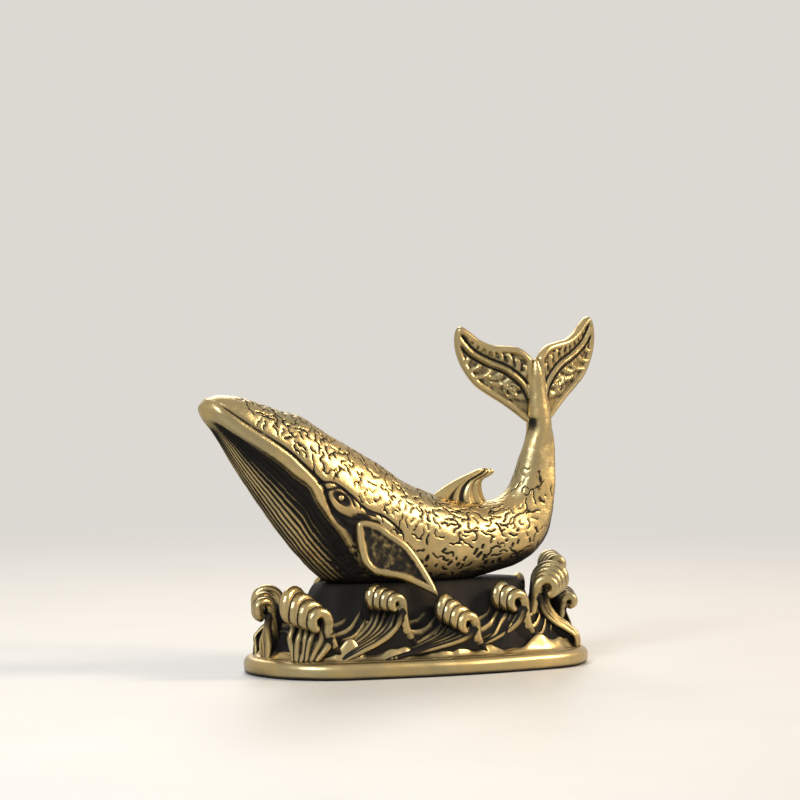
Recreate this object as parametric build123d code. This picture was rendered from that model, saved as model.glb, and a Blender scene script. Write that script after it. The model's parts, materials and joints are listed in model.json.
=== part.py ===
from build123d import *
from math import cos, pi, radians, sin
import os

# A cast brass whale rising out of breaking waves on an oval plinth.
# Lengths are in millimetres and angles in degrees. +Z is up, the snout points
# along -X and its left side faces -Y. The origin is the middle of the flat
# underside of the plinth. Names that end in share or shares are proportions of
# the sizes that they follow.

# Plinth
plinth_length = 37.4
plinth_width = 19.2
plinth_thickness = 1.7
plinth_top_round = 0.75
plinth_bottom_round = 0.45
# the plinth's end arcs, as a share of its half width
end_arc_share = 0.906

# Swell of water under the belly
swell_height = 6.2
swell_seat = 1.3
foam_height = 0.9
foam_margin = 1.0
foam_round = 0.35
mound_length_share = 0.67
mound_width_share = 0.47
mound_slope = 14.0
# the water that rises inward from the foam bank
shoulder_margin = 2.0
shoulder_rise = 2.4
shoulder_slope = 51.0

# Whale
whale_length = 40.0
whale_rise = 27.8
whale_breadth = 9.6
snout_overhang = 5.5
tail_twist = 85.0
section_points = 24
# rows: top x, top z, bottom x, bottom z, half breadth, twist, each a share of the whale's sizes
body_station_shares = [
    (0.000, 0.687, 0.002, 0.655, 0.10, 0.00),
    (0.011, 0.700, 0.013, 0.628, 0.24, 0.00),
    (0.033, 0.718, 0.031, 0.592, 0.39, 0.00),
    (0.065, 0.723, 0.058, 0.534, 0.50, 0.00),
    (0.108, 0.714, 0.092, 0.457, 0.60, 0.00),
    (0.155, 0.694, 0.130, 0.371, 0.69, 0.00),
    (0.210, 0.667, 0.170, 0.288, 0.77, 0.00),
    (0.270, 0.644, 0.212, 0.209, 0.85, 0.00),
    (0.325, 0.594, 0.265, 0.122, 0.92, 0.00),
    (0.380, 0.550, 0.325, 0.050, 0.98, 0.00),
    (0.435, 0.507, 0.395, 0.016, 1.00, 0.00),
    (0.495, 0.457, 0.470, 0.004, 0.99, 0.00),
    (0.555, 0.401, 0.545, 0.000, 0.96, 0.00),
    (0.613, 0.365, 0.620, 0.002, 0.92, 0.00),
    (0.670, 0.336, 0.690, 0.014, 0.85, 0.00),
    (0.728, 0.320, 0.755, 0.034, 0.79, 0.00),
    (0.780, 0.315, 0.820, 0.054, 0.72, 0.00),
    (0.823, 0.320, 0.885, 0.079, 0.65, 0.00),
    (0.853, 0.340, 0.938, 0.122, 0.57, 0.00),
    (0.874, 0.371, 0.974, 0.183, 0.50, 0.00),
    (0.887, 0.414, 0.991, 0.263, 0.44, 0.06),
    (0.899, 0.468, 0.996, 0.356, 0.39, 0.16),
    (0.909, 0.518, 0.996, 0.457, 0.33, 0.31),
    (0.919, 0.565, 0.995, 0.550, 0.29, 0.50),
    (0.925, 0.615, 0.990, 0.615, 0.27, 0.75),
]

# Lower jaw with its pleats, under the overhanging lip
lip_overhang = 0.35
# the most that the throat is drawn in, as a share of a section's half depth
snout_inset_share = 0.2
throat_pleats = 14
pleat_depth = 0.14
jaw_station_count = 12
jaw_section_points = 84
# the lip line from the snout to the corner of the mouth, then round behind the throat
lip_line_shares = [
    (-0.010, 0.647),
    (0.013, 0.626),
    (0.055, 0.576),
    (0.120, 0.514),
    (0.185, 0.468),
    (0.220, 0.430),
    (0.255, 0.396),
    (0.272, 0.347),
    (0.291, 0.308),
    (0.310, 0.268),
    (0.345, 0.209),
    (0.370, 0.155),
]

# Eyes
eye_radius = 0.42
eye_x_share = 0.334
eye_z_share = 0.354
eye_y_share = 0.90

# Dorsal fin: rows of height, front x, back x and half thickness
dorsal_fin_height = 4.6
dorsal_fin_length = 7.6
dorsal_fin_thickness = 2.2
dorsal_fin_x_share = 0.628
dorsal_fin_z_share = 0.272
dorsal_fin_shares = [
    (0.00, 0.00, 0.95, 1.00),
    (0.40, 0.16, 0.92, 0.72),
    (0.62, 0.40, 0.84, 0.50),
    (0.82, 0.64, 0.93, 0.34),
    (1.00, 0.88, 1.03, 0.18),
]

# Flippers
flipper_length = 10.6
flipper_width = 4.7
flipper_thickness = 1.1
# root and tip of the left flipper: x, z and y shares
flipper_root_shares = (0.380, 0.259, -0.98)
flipper_tip_shares = (0.565, 0.000, -1.54)
flipper_outline_shares = [
    (-0.03, -0.03),
    (0.02, 0.16),
    (0.17, 0.31),
    (0.29, 0.34),
    (0.44, 0.39),
    (0.59, 0.35),
    (0.78, 0.23),
    (0.94, 0.10),
    (1.00, -0.01),
    (0.91, -0.09),
    (0.78, -0.18),
    (0.65, -0.28),
    (0.51, -0.47),
    (0.40, -0.60),
    (0.28, -0.59),
    (0.16, -0.43),
    (0.05, -0.23),
]
flipper_middle_shares = (0.42, -0.08)

# Flukes: one lobe, from the stock out along the lower edge, round the tip and back to the notch
fluke_half_span = 8.3
fluke_height = 10.2
fluke_thickness = 1.1
fluke_cup = 17.5
fluke_lean = 4.0
fluke_lobe_shares = [
    (0.145, -0.03),
    (0.320, 0.09),
    (0.470, 0.19),
    (0.640, 0.29),
    (0.785, 0.39),
    (0.895, 0.52),
    (0.965, 0.65),
    (1.000, 0.79),
    (0.990, 0.92),
    (0.945, 0.99),
    (0.880, 0.99),
    (0.785, 0.93),
    (0.675, 0.85),
    (0.530, 0.79),
    (0.360, 0.77),
    (0.190, 0.74),
    (0.060, 0.65),
]
fluke_middle_shares = (0.60, 0.58)
fluke_notch_share = 0.58
lobe_root_share = 0.03
# rows: height, half depth and half width of the midrib between the lobes
midrib_shares = [
    (0.00, 1.00, 1.00),
    (0.14, 0.82, 0.90),
    (0.33, 0.68, 0.68),
    (0.60, 0.58, 0.42),
]

# Dished faces of the flukes and flippers, inside their raised rims
dish_share = 0.76
dish_depth = 0.22

# Short tenons that hold the fins, and the peg that holds the whale on the plinth
tenon_radius = 0.6
tenon_length = 1.6
tenon_reach_share = 0.35
peg_radius = 1.0
peg_plinth_depth = 0.9
peg_belly_depth = 2.4
peg_x_share = 0.56
fit_gap = 0.05

# Wave crests
crest_height = 9.5
roll_radius = 2.0
rib_valley_share = 0.80
# where each rib's groove and the two edges of its crown lie, as shares of the rib's width
rib_crown_shares = (0.0, 0.3, 0.7)
roll_thickness_share = 0.48
wave_foot = 5.0
# angles from straight back, over the top, to the curled tip in front
roll_outer_angles = [0, 35, 70, 105, 140, 175, 205, 228]
roll_tip_angle = 240
roll_inner_angles = [222, 190, 150, 110, 70, 35, 5]
# the hollow front of the wall: forward and up, as shares of its reach and of the roll's height
wall_front_shares = [(0.01, 0.72), (0.07, 0.46), (0.22, 0.24), (0.52, 0.08), (1.00, 0.00)]
# name: start and end of the roll's middle line (x, y, z shares), ribs, curl directions,
# roll shares at both ends, share of the full foot
crest_shares = {
    "crest_bow_far": ((-0.91, 0.10, 0.56), (-0.945, -0.10, 0.51), 3, (75, 80), (0.70, 0.55), 0.10),
    "crest_bow_left": ((-0.885, -0.48, 0.585), (-0.745, -0.72, 0.41), 5, (55, 90), (1.00, 0.70), 0.40),
    "crest_fore_left": ((-0.43, -0.58, 0.63), (-0.33, -0.73, 0.59), 4, (55, 92), (0.70, 0.57), 0.60),
    "crest_mid_left": ((-0.033, -0.625, 0.515), (0.11, -0.813, 0.31), 5, (55, 92), (0.77, 0.60), 0.70),
    "crest_aft_left": ((0.335, -0.51, 0.60), (0.455, -0.655, 0.52), 4, (55, 92), (0.76, 0.60), 0.60),
    "crest_stern_left": ((0.785, -0.19, 0.725), (0.66, -0.46, 0.65), 5, (-50, -70), (1.00, 0.62), 0.60),
    "crest_stern_far": ((0.93, 0.38, 0.86), (0.90, 0.10, 0.83), 4, (-70, -70), (0.62, 0.52), 0.08),
    "crest_stern_low": ((0.92, 0.03, 0.50), (0.90, -0.16, 0.45), 4, (-70, -70), (0.58, 0.48), 0.14),
    "crest_bow_right": ((-0.80, 0.42, 0.56), (-0.75, 0.72, 0.40), 4, (110, 95), (0.85, 0.70), 0.44),
    "crest_fore_right": ((-0.42, 0.52, 0.66), (-0.36, 0.77, 0.52), 4, (110, 90), (0.75, 0.60), 0.80),
    "crest_mid_right": ((0.02, 0.54, 0.60), (0.09, 0.80, 0.44), 4, (110, 90), (0.75, 0.60), 1.00),
    "crest_aft_right": ((0.42, 0.50, 0.58), (0.49, 0.76, 0.40), 4, (110, 90), (0.72, 0.58), 0.85),
    "crest_stern_right": ((0.74, 0.36, 0.60), (0.70, 0.62, 0.48), 4, (220, 250), (0.75, 0.60), 0.40),
}

# One overrun serves every cut, and the mouth's cut starts this far out to the left
overrun = 2.0
mouth_side_share = -2

belly_height = plinth_thickness + swell_height
water_level = plinth_thickness + foam_height
whale_start = -plinth_length / 2 - snout_overhang
half_breadth = whale_breadth / 2


def whale_point(x_share, z_share, y_share=0):
    """A place given as shares of the whale's length, rise and half breadth."""
    return Vector(
        whale_start + x_share * whale_length,
        y_share * half_breadth,
        belly_height + z_share * whale_rise,
    )


def oval(length, width, height):
    """A flat face with the plinth's outline: two small end arcs and two long side arcs."""
    half_length = length / 2
    half_width = width / 2
    end_radius = end_arc_share * half_width
    end_middle = half_length - end_radius
    flatness = half_width - end_radius
    side_middle = (end_middle ** 2 - flatness ** 2) / (2 * flatness)
    reach = end_radius / (half_width + side_middle - end_radius)
    corner_x = end_middle * (1 + reach)
    corner_y = side_middle * reach
    edges = [
        ThreePointArc((corner_x, -corner_y), (half_length, 0), (corner_x, corner_y)),
        ThreePointArc((corner_x, corner_y), (0, half_width), (-corner_x, corner_y)),
        ThreePointArc((-corner_x, corner_y), (-half_length, 0), (-corner_x, -corner_y)),
        ThreePointArc((-corner_x, -corner_y), (0, -half_width), (corner_x, -corner_y)),
    ]
    return Pos(0, 0, height) * Face(Wire(edges))


def level_edges(solid, height):
    """The edges of a solid that lie flat at one height."""
    return solid.edges().filter_by_position(Axis.Z, height - fit_gap, height + fit_gap)


def make_plinth():
    slab = extrude(oval(plinth_length, plinth_width, 0), plinth_thickness)
    slab = fillet(level_edges(slab, plinth_thickness), plinth_top_round)
    return fillet(level_edges(slab, 0), plinth_bottom_round)


def make_swell():
    """A low foam bank on the plinth, the water that rises inward from it, and the mound under the belly."""
    foam_length = plinth_length - 2 * foam_margin
    foam_width = plinth_width - 2 * foam_margin
    bank = extrude(oval(foam_length, foam_width, plinth_thickness), foam_height)
    bank = fillet(level_edges(bank, plinth_thickness + foam_height), foam_round)
    mound_height = belly_height + swell_seat - water_level
    mound_length = mound_length_share * plinth_length
    mound_width = mound_width_share * plinth_width
    mound = extrude(oval(mound_length, mound_width, water_level), mound_height, taper=mound_slope)
    shoulder_length = plinth_length - 2 * shoulder_margin
    shoulder_width = plinth_width - 2 * shoulder_margin
    shoulder_base = oval(shoulder_length, shoulder_width, water_level)
    shoulder = extrude(shoulder_base, shoulder_rise, taper=shoulder_slope)
    return bank + shoulder + mound


def station_frame(row):
    """Middle, upward half depth, sideways half breadth as vectors for one body station."""
    top_x, top_z, bottom_x, bottom_z, breadth_share, twist_share = row
    top = whale_point(top_x, top_z)
    bottom = whale_point(bottom_x, bottom_z)
    middle = (top + bottom) * 0.5
    depth = (top - bottom) * 0.5
    twist = tail_twist * twist_share
    sideways = Vector(0, breadth_share * half_breadth, 0)
    return middle, depth.rotate(Axis.Z, twist), sideways.rotate(Axis.Z, twist)


def station_face(row, inset=0, ripple=0, points=section_points):
    """The closed cross-section of the body at one station."""
    middle, depth, sideways = station_frame(row)
    outline = []
    for step in range(points):
        turn = 2 * pi * step / points
        groove = inset + ripple * (1 - cos(2 * throat_pleats * turn)) / 2
        depth_share = 1 - groove / depth.length
        side_share = 1 - groove / sideways.length
        outline.append(middle + depth * (cos(turn) * depth_share) + sideways * (sin(turn) * side_share))
    return Face(Wire(Spline(outline, periodic=True)))


def make_trunk():
    return loft([station_face(row) for row in body_station_shares])


def make_throat():
    """The head again, drawn in by the lip's overhang and pleated along its length."""
    faces = []
    for row in body_station_shares[1 : jaw_station_count + 1]:
        half_depth = station_frame(row)[1].length
        inset = min(lip_overhang, half_depth * snout_inset_share)
        faces.append(station_face(row, inset, min(pleat_depth, inset), jaw_section_points))
    return loft(faces)


def make_mouth_region():
    """Everything below the lip line and ahead of the back of the throat."""
    lip = [whale_point(x, z, mouth_side_share) for x, z in lip_line_shares]
    below = overrun / whale_rise
    ahead = -overrun / whale_length
    corner_x = lip_line_shares[-1][0]
    first_z = lip_line_shares[0][1]
    rear = whale_point(corner_x, -below, mouth_side_share)
    front = whale_point(ahead, -below, mouth_side_share)
    front_top = whale_point(ahead, first_z, mouth_side_share)
    edges = [
        Spline(lip),
        Line(lip[-1], rear),
        Line(rear, front),
        Line(front, front_top),
        Line(front_top, lip[0]),
    ]
    return extrude(Face(Wire(edges)), 2 * whale_breadth, dir=(0, 1, 0))


def make_eyes():
    beads = []
    for side in (-1, 1):
        place = whale_point(eye_x_share, eye_z_share, side * eye_y_share)
        beads.append(Pos(place) * Sphere(eye_radius))
    return beads


def make_dorsal_fin():
    root = whale_point(dorsal_fin_x_share, dorsal_fin_z_share)
    faces = []
    for height_share, front_share, back_share, thickness_share in dorsal_fin_shares:
        middle = root.X + dorsal_fin_length * (front_share + back_share) / 2
        half_chord = dorsal_fin_length * (back_share - front_share) / 2
        level = root.Z + dorsal_fin_height * height_share
        half_thickness = dorsal_fin_thickness / 2 * thickness_share
        faces.append(Pos(middle, 0, level) * Ellipse(half_chord, half_thickness).face())
    return loft(faces)


def rimmed_plate(outline, points, middle, thickness):
    """A leaf-shaped plate, dished on both faces inside a rim that follows the outline's points."""
    dish_points = []
    for x, y in points:
        dish_points.append((middle[0] + (x - middle[0]) * dish_share, middle[1] + (y - middle[1]) * dish_share))
    half = thickness / 2
    plate = extrude(Face(outline), half, both=True)
    dish = extrude(Face(Wire(Spline(dish_points, periodic=True))), dish_depth)
    return plate - Pos(0, 0, half - dish_depth) * dish - Pos(0, 0, -half) * dish


def rod(start, direction, radius, length):
    """A round rod from one point along a direction."""
    seat = Plane(origin=start, z_dir=direction)
    upright = (Align.CENTER, Align.CENTER, Align.MIN)
    return seat.location * Cylinder(radius, length, align=upright)


def flipper_plane():
    """The left flipper lies along this plane's x axis and faces outward along its z axis."""
    root_x, root_z, root_y = flipper_root_shares
    tip_x, tip_z, tip_y = flipper_tip_shares
    root = whale_point(root_x, root_z, root_y)
    along = (whale_point(tip_x, tip_z, tip_y) - root).normalized()
    outward = Vector(0, -1, 0)
    outward = (outward - along * outward.dot(along)).normalized()
    return Plane(origin=root, x_dir=along, z_dir=outward)


def make_left_flipper():
    points = [(x * flipper_length, y * flipper_width) for x, y in flipper_outline_shares]
    middle = (flipper_middle_shares[0] * flipper_length, flipper_middle_shares[1] * flipper_width)
    outline = Wire(Spline(points, periodic=True))
    return flipper_plane().location * rimmed_plate(outline, points, middle, flipper_thickness)


def make_left_flipper_tenon(gap):
    plane = flipper_plane()
    start = plane.origin + plane.x_dir * (flipper_width * tenon_reach_share)
    return rod(start, -plane.z_dir, tenon_radius + gap, flipper_thickness / 2 + tenon_length + gap)


def fluke_frame(lean):
    """Upright frame at the top of the stock: x to the right lobe, y up, z out of the upper face."""
    root = station_frame(body_station_shares[-1])[0]
    outward = Vector(-1, 0, 0).rotate(Axis.Z, tail_twist)
    rightward = Vector(0, -1, 0).rotate(Axis.Z, tail_twist)
    return Plane(origin=root, x_dir=rightward, z_dir=outward).location * Rot(0, 0, lean)


def make_fluke_lobe(side):
    """One lobe: a dished plate whose inner edge runs straight up inside the midrib."""
    points = [(side * x * fluke_half_span, y * fluke_height) for x, y in fluke_lobe_shares]
    inner_x = side * lobe_root_share * fluke_half_span
    foot = (inner_x, fluke_lobe_shares[0][1] * fluke_height)
    notch = (inner_x, fluke_notch_share * fluke_height)
    edges = [Spline(points), Line(points[-1], notch), Line(notch, foot), Line(foot, points[0])]
    middle = (side * fluke_middle_shares[0] * fluke_half_span, fluke_middle_shares[1] * fluke_height)
    return Rot(0, side * fluke_cup, 0) * rimmed_plate(Wire(edges), points, middle, fluke_thickness)


def make_midrib():
    """The tongue of the tail stock that runs up between the lobes to the notch."""
    middle, depth, sideways = station_frame(body_station_shares[-1])
    faces = []
    for height_share, depth_share, width_share in midrib_shares:
        lean = fluke_lean * height_share / fluke_notch_share
        level = Plane(origin=(0, height_share * fluke_height, 0), x_dir=(1, 0, 0), z_dir=(0, 1, 0))
        outline = Ellipse(sideways.length * width_share, depth.length * depth_share).face()
        faces.append(fluke_frame(lean) * level.location * outline)
    return loft(faces)


def make_flukes():
    lobes = fluke_frame(fluke_lean) * (make_fluke_lobe(-1) + make_fluke_lobe(1))
    return lobes + make_midrib()


def roll_point(centre, forward, radius, angle):
    """A point of the roll, by its angle from straight back over the top to the front."""
    turn = radians(angle)
    rise = Vector(0, 0, radius * sin(turn))
    return centre - forward * (radius * cos(turn)) + rise


def wave_section(centre, forward, outer, inner, foot):
    """A breaking wave in section: steep back, curled-over roll, hollow front and a toe."""
    base = Vector(centre.X, centre.Y, water_level)
    lift = Vector(0, 0, centre.Z - water_level)
    back_foot = base - forward * outer
    front = [roll_point(centre, forward, outer, angle) for angle in roll_outer_angles]
    front.append(roll_point(centre, forward, (outer + inner) / 2, roll_tip_angle))
    front.extend(roll_point(centre, forward, inner, angle) for angle in roll_inner_angles)
    for reach_share, lift_share in wall_front_shares:
        front.append(base + forward * ((inner + foot) * reach_share - inner) + lift * lift_share)
    edges = [Line(back_foot, front[0]), Spline(front), Line(front[-1], back_foot)]
    return Face(Wire(edges))


def make_crest(start_shares, end_shares, rib_count, curls, roll_shares, foot_share):
    """A breaking wave, lofted along its roll's middle line from rib to groove to rib."""
    ends = []
    for x_share, y_share, z_share in (start_shares, end_shares):
        z = plinth_thickness + z_share * crest_height
        ends.append(Vector(x_share * plinth_length / 2, y_share * plinth_width / 2, z))
    sections = []
    for index in range(3 * rib_count + 1):
        groove = index % 3 == 0
        along = (index // 3 + rib_crown_shares[index % 3]) / rib_count
        centre = ends[0] + (ends[1] - ends[0]) * along
        curl = curls[0] + (curls[1] - curls[0]) * along
        roll = roll_radius * (roll_shares[0] + (roll_shares[1] - roll_shares[0]) * along)
        outer = roll * rib_valley_share if groove else roll
        inner = roll * roll_thickness_share
        forward = Vector(0, -1, 0).rotate(Axis.Z, -curl)
        sections.append(wave_section(centre, forward, outer, inner, wave_foot * foot_share))
    return loft(sections, ruled=True)


def main_solid(shape):
    """The one real body that is left after the cuts."""
    return max(shape.solids(), key=lambda solid: solid.volume)


def near(shape, other):
    """Whether the boxes of two shapes meet."""
    one = shape.bounding_box()
    two = other.bounding_box()
    apart_x = one.min.X > two.max.X or two.min.X > one.max.X
    apart_y = one.min.Y > two.max.Y or two.min.Y > one.max.Y
    apart_z = one.min.Z > two.max.Z or two.min.Z > one.max.Z
    return not (apart_x or apart_y or apart_z)


def cut_clear(shape, others):
    for other in others:
        if near(shape, other):
            shape = shape - other
    return main_solid(shape)


def make_peg(gap):
    """The hidden peg from the plinth up into the belly."""
    x = whale_point(peg_x_share, 0).X
    low = plinth_thickness - peg_plinth_depth - gap
    high = belly_height + peg_belly_depth + gap
    return rod(Vector(x, 0, low), Vector(0, 0, 1), peg_radius + gap, high - low)


def make_parts():
    trunk = make_trunk()
    mouth = make_mouth_region()
    eyes = make_eyes()
    fin_root = whale_point(dorsal_fin_x_share, dorsal_fin_z_share)
    fin_middle = fin_root + Vector(dorsal_fin_length / 2, 0, dorsal_fin_height / 2)
    fluke_root = station_frame(body_station_shares[-1])[0]
    down = Vector(0, 0, -1)
    tenon_reach = dorsal_fin_height / 2 + tenon_length
    left_flipper = cut_clear(make_left_flipper(), [trunk])
    left_tenon = make_left_flipper_tenon(0)
    left_socket = make_left_flipper_tenon(fit_gap)
    sockets = [
        rod(fin_middle, down, tenon_radius + fit_gap, tenon_reach + fit_gap),
        rod(fluke_root, down, tenon_radius + fit_gap, tenon_length + fit_gap),
        left_socket,
        mirror(left_socket, about=Plane.XZ),
        make_peg(fit_gap),
    ]
    parts = {}
    parts["whale_body"] = cut_clear(trunk, [mouth] + eyes + sockets)
    parts["lower_jaw"] = main_solid(make_throat() & mouth)
    parts["dorsal_fin"] = cut_clear(make_dorsal_fin(), [trunk]) + rod(fin_middle, down, tenon_radius, tenon_reach)
    parts["flipper_left"] = main_solid(left_flipper + left_tenon)
    parts["flipper_right"] = mirror(parts["flipper_left"], about=Plane.XZ)
    parts["flukes"] = cut_clear(make_flukes(), [trunk]) + rod(fluke_root, down, tenon_radius, tenon_length)
    parts["eye_beads"] = Compound(children=eyes)
    parts["belly_peg"] = make_peg(0)
    parts["plinth"] = cut_clear(make_plinth(), [make_peg(fit_gap)])
    crests = {name: make_crest(*row) for name, row in crest_shares.items()}
    hollows = [trunk, make_peg(fit_gap)] + list(crests.values())
    parts["sea_swell"] = cut_clear(make_swell(), hollows)
    parts.update(crests)
    return parts


os.makedirs("parts", exist_ok=True)
for name, shape in make_parts().items():
    export_step(shape, f"parts/{name}.step")
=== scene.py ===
"""Looks for a cast brass whale figurine that breaches from a swell of curling waves.

Lengths are in millimetres up to the point where a mesh is made, which turns them into metres.
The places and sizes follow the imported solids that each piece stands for. Some of the near crests
stand a little beside their solids, where the photograph shows them.
"""

import json
import logging
import math
from dataclasses import dataclass, field
from enum import Enum
from functools import cache
from itertools import product

import bpy
import numpy as np
from mathutils import Matrix, Vector

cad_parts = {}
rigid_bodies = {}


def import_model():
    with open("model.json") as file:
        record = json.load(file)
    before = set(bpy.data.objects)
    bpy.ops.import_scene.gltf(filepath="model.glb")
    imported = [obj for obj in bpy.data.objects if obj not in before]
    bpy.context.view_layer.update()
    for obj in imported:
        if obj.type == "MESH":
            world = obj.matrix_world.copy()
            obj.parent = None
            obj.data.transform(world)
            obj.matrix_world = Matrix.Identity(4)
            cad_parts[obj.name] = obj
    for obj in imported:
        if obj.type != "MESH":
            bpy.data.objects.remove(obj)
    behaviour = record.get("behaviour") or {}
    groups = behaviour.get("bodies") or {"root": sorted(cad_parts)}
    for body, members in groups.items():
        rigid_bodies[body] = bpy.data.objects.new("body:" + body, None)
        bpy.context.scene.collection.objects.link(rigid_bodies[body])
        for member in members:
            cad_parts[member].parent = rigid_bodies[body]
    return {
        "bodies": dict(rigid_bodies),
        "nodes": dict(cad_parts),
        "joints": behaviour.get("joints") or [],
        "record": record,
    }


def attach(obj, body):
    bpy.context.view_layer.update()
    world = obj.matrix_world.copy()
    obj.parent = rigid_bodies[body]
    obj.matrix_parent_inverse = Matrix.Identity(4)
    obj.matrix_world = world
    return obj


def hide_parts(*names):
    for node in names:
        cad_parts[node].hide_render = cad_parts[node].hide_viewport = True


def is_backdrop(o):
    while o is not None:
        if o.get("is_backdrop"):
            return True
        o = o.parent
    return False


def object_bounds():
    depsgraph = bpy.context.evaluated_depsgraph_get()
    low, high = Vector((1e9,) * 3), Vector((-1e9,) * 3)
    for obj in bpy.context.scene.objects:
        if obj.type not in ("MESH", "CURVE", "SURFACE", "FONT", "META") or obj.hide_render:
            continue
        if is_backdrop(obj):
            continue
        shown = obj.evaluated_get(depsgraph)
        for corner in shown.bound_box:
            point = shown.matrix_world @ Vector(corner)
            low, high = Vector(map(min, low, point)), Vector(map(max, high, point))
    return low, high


LOG = logging.getLogger("whale_figurine")
MM = 0.001
FULL_TURN = 2 * math.pi
FINE_STEPS = 24
FAR_OFF = 9.0
TINY = 1e-9
MIRROR_X = np.array([-1, 1, 1])
MIRROR_Y = np.array([1, -1, 1])

PLINTH_LENGTH = 37.4
PLINTH_WIDTH = 19.2
PLINTH_THICKNESS = 1.7
FOAM_MARGIN = 1.0
FOAM_HEIGHT = 0.9
WATER_LEVEL = PLINTH_THICKNESS + FOAM_HEIGHT
SEAT_DEPTH = 0.15
END_ARC_SHARE = 0.906
CREST_HEIGHT = 9.5

WHALE_START = -24.2
WHALE_LENGTH = 40.0
WHALE_RISE = 27.8
HALF_BREADTH = 4.8
BELLY_HEIGHT = 7.9


class Side(Enum):
    """Which side of the whale a piece is on, by the sign of its y."""

    LEFT = -1
    RIGHT = 1


class Relief(Enum):
    """How a plate's middle is worked inside its rim."""

    HAMMERED = "hammered"
    VEINED = "veined"


def whale_point(x_share: float, z_share: float, y_share: float = 0.0) -> np.ndarray:
    """Gives a place on the whale.

    Args:
        x_share: Share of the whale's length from the snout.
        z_share: Share of the whale's rise above the belly.
        y_share: Share of the half breadth, negative on the left.

    Returns:
        The place in millimetres.
    """
    x, z = WHALE_START + x_share * WHALE_LENGTH, BELLY_HEIGHT + z_share * WHALE_RISE
    return np.array([x, y_share * HALF_BREADTH, z])


def smooth_step(low: float, high: float, value: np.ndarray) -> np.ndarray:
    """Gives a smooth ramp from 0 at low to 1 at high."""
    share = np.clip((value - low) / (high - low), 0.0, 1.0)
    return share * share * (3 - 2 * share)


def bell(value: np.ndarray, width: float | np.ndarray, power: int = 2) -> np.ndarray:
    """Gives a bell that is 1 at 0 and falls off over a width, with steeper sides for a higher power."""
    return np.exp(-((value / width) ** power))


def between(ends: tuple, share: float) -> float | np.ndarray:
    """Gives the value at a share of the way from the first end to the second."""
    return ends[0] + (ends[1] - ends[0]) * share


def unit(vector: np.ndarray) -> np.ndarray:
    """Gives a vector, or each row of vectors, the length of 1."""
    length = np.linalg.norm(vector, axis=-1 if vector.ndim > 1 else None, keepdims=True)
    return vector / np.maximum(length, TINY)


def raised(flat: np.ndarray, height: np.ndarray | float) -> np.ndarray:
    """Adds a height to places on a plan, as their third value."""
    return np.concatenate([flat, np.broadcast_to(height, flat.shape[:-1])[..., None]], axis=-1)


def looped(outline: np.ndarray) -> np.ndarray:
    """Closes an outline by its first point at the end."""
    return np.concatenate([outline, outline[:1]])


def smooth_rows(rows: np.ndarray, places: np.ndarray, closed: bool = False) -> np.ndarray:
    """Reads a smooth curve through rows of values.

    Args:
        rows: One row of values for each station.
        places: Where to read, in stations from the first.
        closed: Whether the last station leads back to the first.

    Returns:
        One row of values for each place.
    """
    count = len(rows)
    start = np.floor(places).astype(int)
    if not closed:
        start = np.clip(start, 0, count - 2)
    part = (places - start)[:, None]
    picks = []
    for step in (-1, 0, 1, 2):
        index = start + step
        picks.append(rows[index % count if closed else np.clip(index, 0, count - 1)])
    before, near, far, after = picks
    return 0.5 * (
        2 * near
        + (far - before) * part
        + (2 * before - 5 * near + 4 * far - after) * part**2
        + (3 * near - before - 3 * far + after) * part**3
    )


def evenly_spaced(line: np.ndarray, count: int, endpoint: bool = False) -> np.ndarray:
    """Picks evenly spaced points on a line of short straight runs.

    Args:
        line: The line's own points.
        count: How many points are picked.
        endpoint: Whether the line's last point is one of them.

    Returns:
        The picked points.
    """
    lengths = np.concatenate([[0.0], np.cumsum(np.linalg.norm(np.diff(line, axis=0), axis=1))])
    wanted = np.linspace(0, lengths[-1], count, endpoint=endpoint)
    return np.stack([np.interp(wanted, lengths, column) for column in line.T], axis=1)


def even_curve(points: list, count: int, closed: bool = False) -> np.ndarray:
    """Draws a smooth curve through points, with its own points evenly spaced.

    Args:
        points: The points that the curve goes through.
        count: How many points the curve gets.
        closed: Whether the curve is a loop.

    Returns:
        The curve's points.
    """
    rows = np.array(points, dtype=float)
    spans = len(rows) if closed else len(rows) - 1
    fine = smooth_rows(rows, np.linspace(0, spans, FINE_STEPS * spans + 1), closed)
    return evenly_spaced(fine, count, endpoint=not closed)


def line_distance(points: np.ndarray, line: np.ndarray) -> tuple[np.ndarray, np.ndarray, np.ndarray]:
    """Measures points against a line of short straight runs in a plane.

    Args:
        points: The points, with two values each.
        line: The line's own points, with two values each.

    Returns:
        The distance, the side (positive to the left of the line) and the share along the line.
    """
    best = np.full(points.shape[:-1], np.inf)
    side, along = np.zeros(points.shape[:-1]), np.zeros(points.shape[:-1])
    runs = len(line) - 1
    for index in range(runs):
        start, run = line[index], line[index + 1] - line[index]
        offset = points - start
        part = np.clip(offset @ run / (run @ run), 0.0, 1.0)
        gap = offset - part[..., None] * run
        distance = np.hypot(gap[..., 0], gap[..., 1])
        nearer = distance < best
        best = np.where(nearer, distance, best)
        turn = run[0] * offset[..., 1] - run[1] * offset[..., 0]
        side = np.where(nearer, np.sign(turn), side)
        along = np.where(nearer, (index + part) / runs, along)
    return best, side, along


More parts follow.
